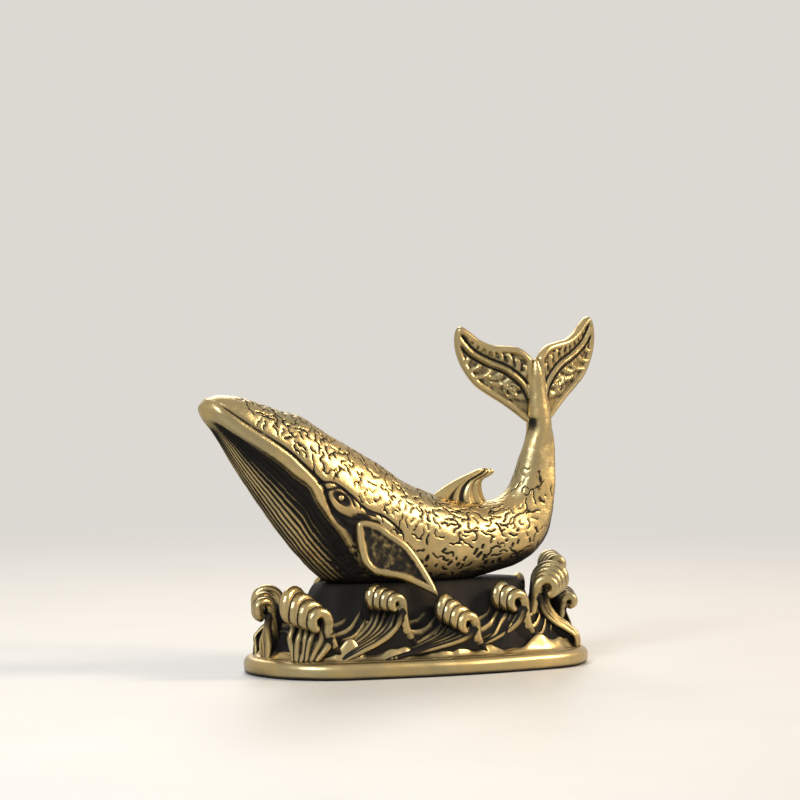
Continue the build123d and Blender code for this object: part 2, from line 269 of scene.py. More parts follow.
def oval_outline(length: float, width: float, count: int) -> np.ndarray:
    """Draws the plinth's outline: two end arcs and two long side arcs.

    Args:
        length: Length along x.
        width: Width along y.
        count: How many points the outline gets.

    Returns:
        The outline's points, evenly spaced.
    """
    half_length, half_width = length / 2, width / 2
    end_radius = END_ARC_SHARE * half_width
    end_middle = half_length - end_radius
    flatness = half_width - end_radius
    side_middle = (end_middle**2 - flatness**2) / (2 * flatness)
    side_radius = half_width + side_middle
    lean = math.atan2(side_middle, end_middle)
    ends = np.linspace(-lean, lean, 61)[:-1]
    sides = np.linspace(lean, math.pi - lean, 121)[:-1]
    right = np.stack([end_middle + end_radius * np.cos(ends), end_radius * np.sin(ends)], axis=1)
    top = np.stack([side_radius * np.cos(sides), side_radius * np.sin(sides) - side_middle], axis=1)
    half = np.concatenate([right, top])
    return evenly_spaced(np.concatenate([half, -half, half[:1]]), count)


@dataclass
class Noise:
    """Smooth seeded noise in space, the same on each run."""

    seed: int
    table: np.ndarray = field(init=False, repr=False)
    slopes: np.ndarray = field(init=False, repr=False)

    def __post_init__(self) -> None:
        """Draws the noise's table from its seed."""
        draw = np.random.default_rng(self.seed)
        self.table = draw.permutation(256)
        self.slopes = unit(draw.normal(size=(256, 3)))

    def at(self, points: np.ndarray, size: float | tuple) -> np.ndarray:
        """Reads the noise.

        Args:
            points: Places in space.
            size: Size of the noise's features, one value or one for each axis.

        Returns:
            Values from about -1 to 1.
        """
        place = points / np.array(size)
        cell = np.floor(place).astype(int)
        part = place - cell
        fade = part**3 * (part * (part * 6 - 15) + 10)
        total = np.zeros(points.shape[:-1])
        for corner in product((0, 1), repeat=3):
            key = cell + np.array(corner)
            index = self.table[key[..., 0] & 255]
            index = self.table[(index + key[..., 1]) & 255]
            index = self.table[(index + key[..., 2]) & 255]
            weight = np.prod(np.where(np.array(corner) == 1, fade, 1 - fade), axis=-1)
            total += weight * np.sum(self.slopes[index] * (part - np.array(corner)), axis=-1)
        return total * 1.5


def make_mesh(name: str, points: np.ndarray, faces: list) -> bpy.types.Object:
    """Makes a smooth mesh object.

    Args:
        name: The piece's name.
        points: The points in millimetres.
        faces: Lists of point numbers.

    Returns:
        The new object.
    """
    mesh = bpy.data.meshes.new(name)
    mesh.from_pydata((points * MM).tolist(), [], faces)
    mesh.validate()
    mesh.polygons.foreach_set("use_smooth", [True] * len(mesh.polygons))
    piece = bpy.data.objects.new(name, mesh)
    bpy.context.scene.collection.objects.link(piece)
    return piece


def tube_faces(rows: int, columns: int, first: int) -> list:
    """Lists the faces of a grid closed around its columns, with a pole point after it for each end.

    Args:
        rows: How many rings the grid has.
        columns: How many points each ring has.
        first: The number of the grid's first point.

    Returns:
        Point numbers for each face.
    """
    faces = []
    start_pole, last = first + rows * columns, first + (rows - 1) * columns
    turns = [(column, (column + 1) % columns) for column in range(columns)]
    for low in range(first, last, columns):
        high = low + columns
        faces += [(low + here, low + after, high + after, high + here) for here, after in turns]
    for here, after in turns:
        faces.append((start_pole, first + after, first + here))
        faces.append((start_pole + 1, last + here, last + after))
    return faces


def closed_piece(name: str, grids: list) -> bpy.types.Object:
    """Makes a mesh from grids of rings, each closed at its ends by a pole point.

    Args:
        name: The piece's name.
        grids: Grids with rows of rings of points.

    Returns:
        The new object.
    """
    points, faces, first = [], [], 0
    for grid in grids:
        rows, columns, _ = grid.shape
        poles = np.stack([grid[0].mean(axis=0), grid[-1].mean(axis=0)])
        points.append(np.concatenate([grid.reshape(-1, 3), poles]))
        faces.extend(tube_faces(rows, columns, first))
        first += rows * columns + len(poles)
    return make_mesh(name, np.concatenate(points), faces)


def mesh_points(mesh: bpy.types.Mesh) -> np.ndarray:
    """Reads a mesh's points, in metres."""
    places = np.empty(len(mesh.vertices) * 3)
    mesh.vertices.foreach_get("co", places)
    return places.reshape(-1, 3)


def face_outward(mesh: bpy.types.Mesh) -> None:
    """Turns a closed mesh's faces outward if its volume reads negative.

    Args:
        mesh: The mesh, closed.
    """
    mesh.calc_loop_triangles()
    corners = np.empty(len(mesh.loop_triangles) * 3, dtype=np.int32)
    mesh.loop_triangles.foreach_get("vertices", corners)
    one, two, three = np.moveaxis(mesh_points(mesh)[corners.reshape(-1, 3)], 1, 0)
    if np.sum(one * np.cross(two, three)) < 0:
        mesh.flip_normals()


class NodePlan:
    """A short way to lay out the nodes of a material or a node group."""

    def __init__(self, tree: bpy.types.NodeTree) -> None:
        """Keeps the tree that nodes go into."""
        self.tree = tree

    def fill(self, node: bpy.types.Node, values: dict) -> bpy.types.Node:
        """Sets a node's inputs by name or number, and links those whose value is a socket.

        Args:
            node: The node.
            values: Values or sockets by name or number.

        Returns:
            The same node.
        """
        for key, value in values.items():
            if isinstance(value, bpy.types.NodeSocket):
                self.tree.links.new(value, node.inputs[key])
            else:
                node.inputs[key].default_value = value
        return node

    def add(self, kind: str, values: dict | None = None, **settings: object) -> bpy.types.Node:
        """Adds a node.

        Args:
            kind: The node's type name.
            values: Values or sockets for its inputs, by name or number.
            **settings: Properties of the node.

        Returns:
            The new node.
        """
        node = self.tree.nodes.new(kind)
        for key, value in settings.items():
            setattr(node, key, value)
        return self.fill(node, values or {})

    def maths(self, operation: str, *values: object) -> bpy.types.NodeSocket:
        """Adds a math node and gives its result."""
        return self.add("ShaderNodeMath", dict(enumerate(values)), operation=operation).outputs[0]

    def ramp(self, value: bpy.types.NodeSocket, low: float, high: float) -> bpy.types.NodeSocket:
        """Adds a smooth 0 to 1 ramp between two values and gives its result."""
        values = {"Value": value, "From Min": low, "From Max": high}
        return self.add("ShaderNodeMapRange", values, interpolation_type="SMOOTHSTEP").outputs["Result"]

    def mix(self, share: object, first: object, second: object, blend: str = "MIX") -> bpy.types.NodeSocket:
        """Blends two colours by a share and gives the colour."""
        values = {0: share, 6: first, 7: second}
        return self.add("ShaderNodeMix", values, data_type="RGBA", blend_type=blend).outputs[2]

    def noise(self, place: object, scale: object, detail: float, rough: float = 0.5) -> bpy.types.NodeSocket:
        """Adds a noise texture and gives its value."""
        values = {"Vector": place, "Scale": scale, "Detail": detail, "Roughness": rough}
        return self.add("ShaderNodeTexNoise", values).outputs["Fac"]

    def openness(self, reach: object) -> bpy.types.NodeSocket:
        """Adds an ambient occlusion node and gives how open the surface is within its reach."""
        return self.add("ShaderNodeAmbientOcclusion", {"Distance": reach}, samples=6).outputs["AO"]

    def own_place(self) -> bpy.types.NodeSocket:
        """Gives the place on the object."""
        return self.add("ShaderNodeTexCoord").outputs["Object"]

    def seen_directly(self) -> bpy.types.NodeSocket:
        """Gives 1 for what the camera, glass and reflections see, and 0 for what lights the scene."""
        rays = self.add("ShaderNodeLightPath").outputs
        seen = self.maths("MAXIMUM", rays["Is Camera Ray"], rays["Is Transmission Ray"])
        return self.maths("MAXIMUM", seen, rays["Is Glossy Ray"])


def new_group(name: str, inputs: dict, outputs: tuple) -> tuple[NodePlan, bpy.types.NodeInputs]:
    """Makes an empty shader node group.

    Args:
        name: The group's name.
        inputs: Input names with their default values; a tuple is a colour.
        outputs: Output names; one that is called Color is a colour.

    Returns:
        A plan for the group's nodes, and the sockets that carry its inputs.
    """
    group = bpy.data.node_groups.new(name, "ShaderNodeTree")
    kinds = {True: "NodeSocketColor", False: "NodeSocketFloat"}
    for key, value in inputs.items():
        kind = kinds[isinstance(value, tuple)]
        group.interface.new_socket(name=key, in_out="INPUT", socket_type=kind).default_value = value
    for key in outputs:
        group.interface.new_socket(name=key, in_out="OUTPUT", socket_type=kinds[key == "Color"])
    plan = NodePlan(group)
    return plan, plan.add("NodeGroupInput").outputs


@cache
def wear_and_shade_group() -> bpy.types.NodeTree:
    """Makes the node group that tells rubbed, bare brass from patina, and paints shade where the surface is
    closed in.

    Returns:
        A group with a mask that is 1 on bare metal and low in patina and in painted shade, and a height for
        the fine grain.
    """
    inputs = {"Recess Reach": 0.0016, "Shade Reach": 0.006, "Rubbed": 0.5, "Grain Scale": 1500.0}
    plan, given = new_group("patina_wear_and_painted_shade", inputs, ("Mask", "Height"))
    place = plan.own_place()
    pointiness = plan.add("ShaderNodeNewGeometry").outputs["Pointiness"]
    tone = plan.add("ShaderNodeAttribute", attribute_name="tone").outputs["Fac"]
    blotch = plan.noise(place, 420.0, 4.0, 0.6)
    # patina in the small hollows
    recess = plan.ramp(plan.openness(given["Recess Reach"]), 0.25, 0.80)
    # painted shade: the wider reach darkens the metal under the belly, beneath the crests and between parts,
    # where shade falls
    shade = plan.ramp(plan.openness(given["Shade Reach"]), 0.10, 0.58)
    # the tone attribute carries wear and patina, and also the painted shade and highlight set while building
    lit = plan.maths("MULTIPLY", plan.maths("MULTIPLY", recess, shade), tone)
    ridge = plan.maths("MULTIPLY_ADD", plan.ramp(pointiness, 0.42, 0.52), 0.75, 0.25)
    lit = plan.maths("MULTIPLY", lit, ridge)
    worn_and_shaded = plan.maths("MULTIPLY_ADD", plan.maths("SUBTRACT", blotch, 0.5), 0.45, lit)
    worn_and_shaded = plan.maths("ADD", worn_and_shaded, plan.maths("SUBTRACT", given["Rubbed"], 0.5))
    grain = plan.noise(place, given["Grain Scale"], 6.0, 0.7)
    stretch = plan.add("ShaderNodeMapping", {"Vector": place, "Scale": (900.0, 900.0, 5200.0)})
    hair = plan.noise(stretch.outputs["Vector"], 1.0, 2.0)
    height = plan.maths("MULTIPLY_ADD", hair, 0.35, grain)
    plan.add("NodeGroupOutput", {"Mask": plan.ramp(worn_and_shaded, 0.12, 0.78), "Height": height})
    return plan.tree


@cache
def brass_group() -> bpy.types.NodeTree:
    """Makes the node group that colours brass from bare gold to near-black patina.

    Returns:
        A group with the colour, the roughness and the metalness for a wear mask.
    """
    bare, patina = (0.8, 0.6, 0.3, 1.0), (0.03, 0.025, 0.02, 1.0)
    inputs = {"Mask": 1.0, "Bare": bare, "Patina": patina, "Smoothness": 0.5}
    plan, given = new_group("aged_brass", inputs, ("Color", "Roughness", "Metalness"))
    place, mask = plan.own_place(), given["Mask"]
    cloud = plan.ramp(plan.noise(place, 160.0, 3.0, 0.55), 0.35, 0.65)
    warm = plan.mix(cloud, (0.70, 0.72, 0.74, 1.0), (1.12, 1.0, 0.82, 1.0))
    tinted = plan.mix(0.75, given["Bare"], warm, "MULTIPLY")
    brown = plan.mix(mask, (0.15, 0.105, 0.042, 1.0), tinted)
    colour = plan.mix(plan.ramp(mask, 0.0, 0.45), given["Patina"], brown)
    dull = plan.maths("MULTIPLY_ADD", plan.noise(place, 900.0, 4.0), 0.16, 0.58)
    rough = plan.maths("SUBTRACT", dull, plan.maths("MULTIPLY", mask, given["Smoothness"]))
    metal = plan.maths("MULTIPLY_ADD", mask, 0.60, 0.40)
    plan.add("NodeGroupOutput", {"Color": colour, "Roughness": rough, "Metalness": metal})
    return plan.tree


@dataclass(frozen=True)
class BrassFinish:
    """Aged cast brass: bare and golden where it is rubbed, black with patina in the recesses, and darkened by
    painted shade under and between parts.
    """

    name: str
    slot: str
    recess_reach: float
    rubbed: float
    smoothness: float = 0.36
    bump_depth: float = 0.00003
    bump_strength: float = 0.6
    shade_reach: float = 0.006
    grain_scale: float = 1500.0
    specular_level: float = 0.2
    bare: tuple = (0.49, 0.395, 0.205, 1.0)
    patina: tuple = (0.013, 0.011, 0.009, 1.0)

    @cache
    def material(self) -> bpy.types.Material:
        """Makes the material the first time and gives the same one after that.

        Returns:
            A material that mixes bare brass and patina by wear and by painted shade.
        """
        material = bpy.data.materials.new(self.name)
        material.use_nodes = True
        plan = NodePlan(material.node_tree)
        reaches = {"Recess Reach": self.recess_reach, "Shade Reach": self.shade_reach}
        values = reaches | {"Rubbed": self.rubbed, "Grain Scale": self.grain_scale}
        # the mask from this group holds wear and patina, and painted shade
        wear_and_shade = plan.add("ShaderNodeGroup", values, node_tree=wear_and_shade_group()).outputs
        colours = {"Bare": self.bare, "Patina": self.patina}
        values = {"Mask": wear_and_shade["Mask"], "Smoothness": self.smoothness} | colours
        brass = plan.add("ShaderNodeGroup", values, node_tree=brass_group()).outputs
        values = {"Height": wear_and_shade["Height"], "Distance": self.bump_depth, "Strength": self.bump_strength}
        bump = plan.add("ShaderNodeBump", values)
        look = {"Base Color": brass["Color"], "Roughness": brass["Roughness"], "Metallic": brass["Metalness"]}
        look |= {"Normal": bump.outputs["Normal"], "Specular IOR Level": self.specular_level}
        plan.fill(material.node_tree.nodes["Principled BSDF"], look)
        return material


class Brass(Enum):
    """Every brass finish of the figurine."""

    SKIN = BrassFinish("whale_skin_brass", "whale_brass", 0.0008, 0.44, bump_depth=0.00006)
    FINS = BrassFinish("fin_brass", "whale_brass", 0.0010, 0.48)
    WAVES = BrassFinish("wave_brass", "wave_brass", 0.0016, 0.44)
    WATER = BrassFinish("water_brass", "wave_brass", 0.0020, 0.36)
    PLINTH = BrassFinish("plinth_brass", "plinth_brass", 0.0012, 0.54, 0.32)
    BEADS = BrassFinish("bead_brass", "whale_brass", 0.0003, 0.75, 0.32)


def dress(piece: bpy.types.Object, tone: np.ndarray | float, brass: Brass, *nodes: str) -> bpy.types.Object:
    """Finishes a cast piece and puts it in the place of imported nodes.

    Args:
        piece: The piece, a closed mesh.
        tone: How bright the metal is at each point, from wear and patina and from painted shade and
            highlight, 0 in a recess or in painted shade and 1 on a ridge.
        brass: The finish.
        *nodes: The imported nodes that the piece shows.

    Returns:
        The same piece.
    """
    face_outward(piece.data)
    values = np.ones(len(piece.data.vertices), dtype=np.float32)
    flat = np.asarray(tone, dtype=np.float32).ravel()
    values[: len(flat)] = flat
    piece.data.attributes.new("tone", "FLOAT", "POINT").data.foreach_set("value", values)
    piece.data.materials.append(brass.value.material())
    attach(piece, "root")
    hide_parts(*nodes)
    return piece


@dataclass
class Stroke:
    """One engraved line, drawn flat and laid on the skin around its middle."""

    points: np.ndarray
    depth: float
    half_width: float


@dataclass
class Engraver:
    """Draws short curly strokes, pits and long wavy strokes, from a seed."""

    seed: int
    step: float = 0.13
    depths: tuple = (0.07, 0.13)
    half_widths: tuple = (0.08, 0.10)
    pit_depths: tuple = (0.09, 0.16)
    pit_half_widths: tuple = (0.11, 0.17)

    def __post_init__(self) -> None:
        """Starts the seeded draw."""
        self.draw = np.random.default_rng(self.seed)

    def walk(self, heading: float, bends: np.ndarray) -> np.ndarray:
        """Walks a line whose heading turns by each bend in turn, and centres it.

        Args:
            heading: The first heading.
            bends: The turns, one for each step.

        Returns:
            The line's points around its middle.
        """
        headings = heading + np.cumsum(bends)
        steps = np.stack([np.cos(headings), np.sin(headings)], axis=1) * self.step
        path = np.concatenate([np.zeros((1, 2)), np.cumsum(steps, axis=0)])
        return path - path.mean(axis=0)

    def curl(self) -> Stroke:
        """Draws a C or S shaped stroke.

        Returns:
            The stroke.
        """
        depth, half_width = self.draw.uniform(*self.depths), self.draw.uniform(*self.half_widths)
        count = int(self.draw.integers(5, 11))
        bends = np.full(count, self.draw.uniform(0.16, 0.46) * self.draw.choice([-1, 1]))
        if self.draw.random() < 0.5:
            bends[count // 2 :] *= -1
        return Stroke(self.walk(self.draw.uniform(0, FULL_TURN), bends), depth, half_width)

    def pit(self) -> Stroke:
        """Punches a short pit that leans across the body.

        Returns:
            The pit, as a short stroke.
        """
        depth, half_width = self.draw.uniform(*self.pit_depths), self.draw.uniform(*self.pit_half_widths)
        heading = self.draw.normal(1.2, 0.5)
        return Stroke(self.walk(heading, np.zeros(int(self.draw.integers(1, 5)))), depth, half_width)

    def ripple(self) -> Stroke:
        """Draws a longer wavy stroke that runs roughly along the body.

        Returns:
            The stroke.
        """
        depth, half_width = self.draw.uniform(*self.depths), self.draw.uniform(*self.half_widths)
        count = int(self.draw.integers(6, 15))
        phase = self.draw.uniform(0, FULL_TURN)
        bends = 0.28 * np.sin(phase + np.arange(count) * self.draw.uniform(0.5, 0.9))
        return Stroke(self.walk(self.draw.normal(0, 0.35), bends), depth, half_width)


@dataclass
class WhaleBody:
    """The whale from snout to tail stock, with its lips, pleated throat and engraved skin.

    A station holds the x and z of its top and of its bottom, its half breadth and its twist, as shares.
    A crease holds its points as x and z, its depth and its half width.
    """

    rows: int = 410
    columns: int = 242
    tail_twist: float = 85.0
    lip_height: float = 0.42
    snout_fade: tuple = (-24.2, -22.6)
    groove_depth: float = 0.34
    groove_width: float = 0.17
    groove_widening: float = 0.15
    groove_start: tuple = (-23.2, -22.0)
    groove_deepens: tuple = (-20.0, -15.0)
    groove_widens: tuple = (-15.5, -12.8)
    throat_deepens: tuple = (-23.5, -16.5)
    throat_inset: float = 0.42
    hollow_inset: float = 0.40
    pleats: int = 11
    pleat_depth: float = 0.28
    eye_place: tuple = (-10.84, 17.74)
    eye_radius: float = 0.36
    eye_lean: float = -34.0
    eye_shares: tuple = (0.334, 0.354, 0.90)
    socket_depth: float = 0.34
    lid_rise: float = 0.05
    cheek_place: tuple = (-10.5, 15.4)
    cheek_radius: float = 1.6
    fin_root_place: tuple = (-8.6, 14.6)
    fin_root_radius: float = 1.5
    belly_start: tuple = (-14.0, -8.0)
    belly_top: tuple = (16.0, 20.0)
    flank_start: tuple = (-12.0, -9.0)
    stock_start: tuple = (6.0, 9.0)
    stock_foot: tuple = (10.5, 13.5)
    stock_head: tuple = (22.0, 25.0)
    notch_x: float = 12.9
    notch_width: float = 0.80
    notch_heights: tuple = (22.2, 24.6, 25.0, 25.5)
    dark_stripe_x: float = 13.1
    dark_stripe_width: float = 0.40
    dark_stripe_heights: tuple = (15.0, 17.0, 20.5, 23.0)
    strokes_tried: int = 5200
    head_spacing: float = 0.84
    flank_spacing: float = 0.92
    bare_snout: float = -20.8
    station_shares: tuple = (
        (0.000, 0.687, 0.002, 0.655, 0.10, 0), (0.011, 0.700, 0.013, 0.628, 0.24, 0),
        (0.033, 0.718, 0.031, 0.592, 0.39, 0), (0.065, 0.723, 0.058, 0.534, 0.50, 0),
        (0.108, 0.714, 0.092, 0.457, 0.60, 0), (0.155, 0.694, 0.130, 0.371, 0.69, 0),
        (0.210, 0.667, 0.170, 0.288, 0.77, 0), (0.270, 0.644, 0.212, 0.209, 0.85, 0),
        (0.325, 0.594, 0.265, 0.122, 0.92, 0), (0.380, 0.550, 0.325, 0.050, 0.98, 0),
        (0.435, 0.507, 0.395, 0.016, 1.00, 0), (0.495, 0.457, 0.470, 0.004, 0.99, 0),
        (0.555, 0.401, 0.545, 0.000, 0.96, 0), (0.613, 0.365, 0.620, 0.002, 0.92, 0),
        (0.670, 0.336, 0.690, 0.014, 0.85, 0), (0.728, 0.320, 0.755, 0.034, 0.79, 0),
        (0.780, 0.315, 0.820, 0.054, 0.72, 0), (0.823, 0.320, 0.885, 0.079, 0.65, 0),
        (0.853, 0.340, 0.938, 0.122, 0.57, 0), (0.874, 0.371, 0.974, 0.183, 0.50, 0),
        (0.887, 0.414, 0.991, 0.263, 0.44, 0.06), (0.899, 0.468, 0.996, 0.356, 0.39, 0.16),
        (0.909, 0.518, 0.996, 0.457, 0.33, 0.31), (0.919, 0.565, 0.995, 0.550, 0.29, 0.50),
        (0.925, 0.615, 0.990, 0.615, 0.27, 0.75), (0.928, 0.666, 0.982, 0.666, 0.245, 0.90),
        (0.930, 0.736, 0.974, 0.736, 0.185, 1), (0.930, 0.798, 0.968, 0.798, 0.135, 1),
        (0.937, 0.830, 0.959, 0.830, 0.075, 1), (0.944, 0.842, 0.952, 0.842, 0.020, 1),
    )
    lip_edge: tuple = (
        (-24.9, 26.7), (-23.8, 26.1), (-22.0, 24.8), (-19.4, 23.0), (-16.8, 21.2), (-15.4, 19.95),
        (-14.0, 18.9), (-13.3, 17.5), (-12.6, 16.5), (-11.8, 15.35), (-10.4, 13.7), (-9.4, 12.2),
        (-7.6, 10.0), (-6.2, 7.0),
    )
    lip_groove: tuple = (
        (-22.9, 27.25), (-21.15, 25.91), (-19.8, 24.96), (-17.9, 23.74), (-16.0, 22.38), (-14.7, 21.15),
        (-13.3, 19.8), (-12.6, 18.85), (-12.26, 17.5), (-11.67, 16.3), (-10.4, 15.06), (-9.46, 14.36),
    )
    brow: tuple = (
        (-13.25, 19.28), (-11.49, 19.25), (-9.86, 18.15), (-8.23, 16.60), (-6.14, 15.75), (-4.22, 14.22),
    )
    upper_lid: tuple = ((-12.67, 18.25), (-11.78, 18.72), (-10.75, 18.68), (-9.86, 17.90), (-9.45, 16.95))
    lower_lid: tuple = ((-12.18, 17.39), (-11.30, 16.35), (-9.97, 15.60), (-9.00, 15.50))
    cheek_fold: tuple = ((-11.90, 16.30), (-11.00, 15.20), (-9.80, 14.60), (-9.10, 14.60))

    def __post_init__(self) -> None:
        """Lays out the plain skin before any relief."""
        self.noise = Noise(11)
        self.creases = (
            (self.brow, 0.20, 0.16), (self.upper_lid, 0.22, 0.13),
            (self.lower_lid, 0.18, 0.14), (self.cheek_fold, 0.18, 0.15),
        )
        rows = np.array(self.station_shares)
        fine = smooth_rows(rows, np.linspace(0, len(rows) - 1, FINE_STEPS * len(rows)))
        top = np.stack([whale_point(row[0], row[1]) for row in fine])
        low = np.stack([whale_point(row[2], row[3]) for row in fine])
        steps = np.linalg.norm(np.diff(top, axis=0), axis=1) + np.linalg.norm(np.diff(low, axis=0), axis=1)
        lengths = np.concatenate([[0.0], np.cumsum(steps)])
        places = np.interp(np.linspace(0, lengths[-1], self.rows), lengths, np.arange(len(lengths)))
        picked = np.stack([np.interp(places, np.arange(len(fine)), column) for column in fine.T], axis=1)
        self.turns = np.linspace(0, FULL_TURN, self.columns, endpoint=False)
        self.points = np.stack([self.ring(row) for row in picked])
        along = np.gradient(self.points, axis=0)
        around = np.roll(self.points, -1, axis=1) - np.roll(self.points, 1, axis=1)
        self.normals = unit(np.cross(around, along))
        outward = self.points - self.points.mean(axis=1, keepdims=True)
        if np.sum(outward * self.normals) < 0:
            self.normals = -self.normals
        self.tone = np.ones(self.points.shape[:2])
        self.folded = np.minimum(self.turns, FULL_TURN - self.turns)[None, :] + np.zeros((self.rows, 1))

    def ring(self, row: np.ndarray) -> np.ndarray:
        """Gives the points of one cross-section.

        Args:
            row: One station.

        Returns:
            The ring's points, from the back down the left side.
        """
        top, low = whale_point(row[0], row[1]), whale_point(row[2], row[3])
        middle, depth = (top + low) / 2, (top - low) / 2
        twist = Matrix.Rotation(math.radians(self.tail_twist * row[5]), 3, "Z")
        depth = np.array(twist @ Vector(depth))
        sideways = np.array(twist @ Vector((0, -row[4] * HALF_BREADTH, 0)))
        return middle + np.cos(self.turns)[:, None] * depth + np.sin(self.turns)[:, None] * sideways

    def shift(self, amount: np.ndarray) -> None:
        """Moves the skin out along its normals, or in where the amount is negative."""
        self.points = self.points + self.normals * amount[..., None]

    def shape_mouth(self) -> None:
        """Forms the bulging lip, the groove above it and the pleated throat below, with painted shade and a
        painted highlight on the throat.
        """
        flat = self.points[..., [0, 2]]
        x = flat[..., 0]
        gap, side, along = line_distance(flat, even_curve(self.lip_edge, 70))
        below, above = np.where(side < 0, gap, 0.0), np.where(side > 0, gap, 0.0)
        front = smooth_step(*self.snout_fade, x)
        # the lip's soft roll between its lower edge and the groove
        groove_gap, groove_side, groove_along = line_distance(flat, even_curve(self.lip_groove, 60))
        band = (side > 0) & (groove_side < 0)
        share = np.where(band, above / np.maximum(above + groove_gap, 1e-6), 0.0)
        roll = np.sin(np.pi * np.clip(share, 0, 1)) ** 0.7
        lift = self.lip_height * roll * band * ((1 - smooth_step(0.80, 1.0, groove_along)) * front) * 0.6
        groove_width = self.groove_width + self.groove_widening * smooth_step(*self.groove_widens, x)
        cut = self.groove_depth * bell(groove_gap, groove_width) * (1 - smooth_step(0.93, 1.0, groove_along))
        cut *= smooth_step(*self.groove_start, x) * (0.55 + 0.45 * smooth_step(*self.groove_deepens, x))
        # the throat, set back under the lip and drawn into long pleats
        fade = 1 - smooth_step(0.72, 0.93, along)
        inset = self.throat_inset * smooth_step(0.0, 0.35, below) + self.hollow_inset * bell(below - 0.8, 0.9)
        inset *= (side < 0) * fade * front * (0.25 + 0.75 * smooth_step(*self.throat_deepens, x))
        lip_turn = self.lip_turns(side)
        across = np.clip((self.folded - lip_turn) / (np.pi - lip_turn), 0, 1)
        wobble = 0.012 * self.noise.at(self.points, 4.0)
        ridge = np.abs(np.sin(np.pi * self.pleats * (across**0.85 + wobble)))
        pleat = (1 - ridge**0.9) * self.pleat_depth * smooth_step(0.10, 0.8, below) * fade * front
        self.shift(lift - cut - inset - pleat)
        # the throat: patina in the pleats' grooves, painted shade under the lip and over the throat, and a
        # painted highlight band along its middle
        dark = smooth_step(0.05, 0.4, below) * fade * front
        lit = 0.45 * bell(across - 0.60, 0.20)
        shade = 0.46 - lit + 0.75 * (1 - ridge**2) + 0.30 * bell(below - 0.7, 1.3)
        self.tone *= 1 - dark * np.clip(shade, 0, 0.97)
        self.tone *= 1 - 0.85 * np.clip(cut / self.groove_depth, 0, 1)

    def lip_turns(self, side: np.ndarray) -> np.ndarray:
        """Finds where each ring crosses the lip's lower edge, as a turn from the back.

        Args:
            side: Below 0 where a point lies under the edge.

        Returns:
            One turn for each ring.
        """
        half = self.columns // 2
        found = np.full((self.rows, 1), np.pi * 0.6)
        for index in range(self.rows):
            under = np.nonzero(side[index, :half] < 0)[0]
            if len(under):
                found[index, 0] = self.turns[under[0]]
        return np.minimum(found, np.pi * 0.9)

    def shape_eyes(self) -> None:
        """Sinks an almond socket around each eye, with lids and the creases behind it, and paints shade in
        the socket.
        """
        lean = math.radians(self.eye_lean)
        ahead, up = self.points[..., 0] - self.eye_place[0], self.points[..., 2] - self.eye_place[1]
        across = ahead * math.cos(lean) + up * math.sin(lean)
        rise = -ahead * math.sin(lean) + up * math.cos(lean)
        reach = np.hypot(across, rise / 0.52)
        on_side = smooth_step(0.5, 0.8, np.abs(self.points[..., 1]) / HALF_BREADTH)
        socket = -self.socket_depth * bell(reach, 0.85) + self.lid_rise * bell(reach - 1.35, 0.30)
        self.shift(socket * on_side)
        for points, depth, half_width in self.creases:
            gap = line_distance(self.points[..., [0, 2]], even_curve(points, 40))[0]
            cut = bell(gap, half_width) * on_side
            self.shift(-depth * cut)
            self.tone *= 1 - 0.9 * cut
        # painted shade in the sunken socket round the eye; the cheek below it is made darker too
        self.tone *= 1 - 0.95 * bell(reach, 1.3, 4) * on_side
        cheek = np.hypot(self.points[..., 0] - self.cheek_place[0], self.points[..., 2] - self.cheek_place[1])
        self.tone *= 1 - 0.5 * bell(cheek, self.cheek_radius, 4) * on_side

    def carve(self, row: int, column: int, stroke: Stroke) -> None:
        """Cuts one stroke into the skin.

        Args:
            row: The grid row of the stroke's middle.
            column: The grid column of the stroke's middle.
            stroke: The stroke, drawn flat.
        """
        reach = int(np.abs(stroke.points).max() / 0.10) + 5
        last = self.rows - 1
        rows = np.arange(max(row - reach, 0), min(row + reach, last) + 1)
        patch = np.ix_(rows, np.arange(column - reach, column + reach + 1) % self.columns)
        along = unit(self.plain[min(row + 1, last), column] - self.plain[max(row - 1, 0), column])
        across = np.cross(self.normals[row, column], along)
        offset = self.plain[patch] - self.plain[row, column]
        gap = line_distance(np.stack([offset @ along, offset @ across], axis=-1), stroke.points)[0]
        self.relief[patch] = np.minimum(self.relief[patch], -stroke.depth * bell(gap, stroke.half_width))

    def left_bare(self, place: np.ndarray, turn: float, groove: np.ndarray) -> bool:
        """Tells whether a place is on the lips, the throat, the keel or the eye, where no stroke goes.

        Args:
            place: The place in millimetres.
            turn: Its turn from the back.
            groove: The groove above the lip.

        Returns:
            True where the skin stays plain.
        """
        x, z = place[0], place[2]
        gap, side, share = (part.item() for part in line_distance(np.array([[x, z]]), groove))
        if share < 1 and (side < 0 or gap < 0.55):
            return True
        if share >= 0.999 and turn > 2.55:
            return True
        return math.hypot(x - self.eye_place[0], z - self.eye_place[1]) < 2.0 and turn > 1.0

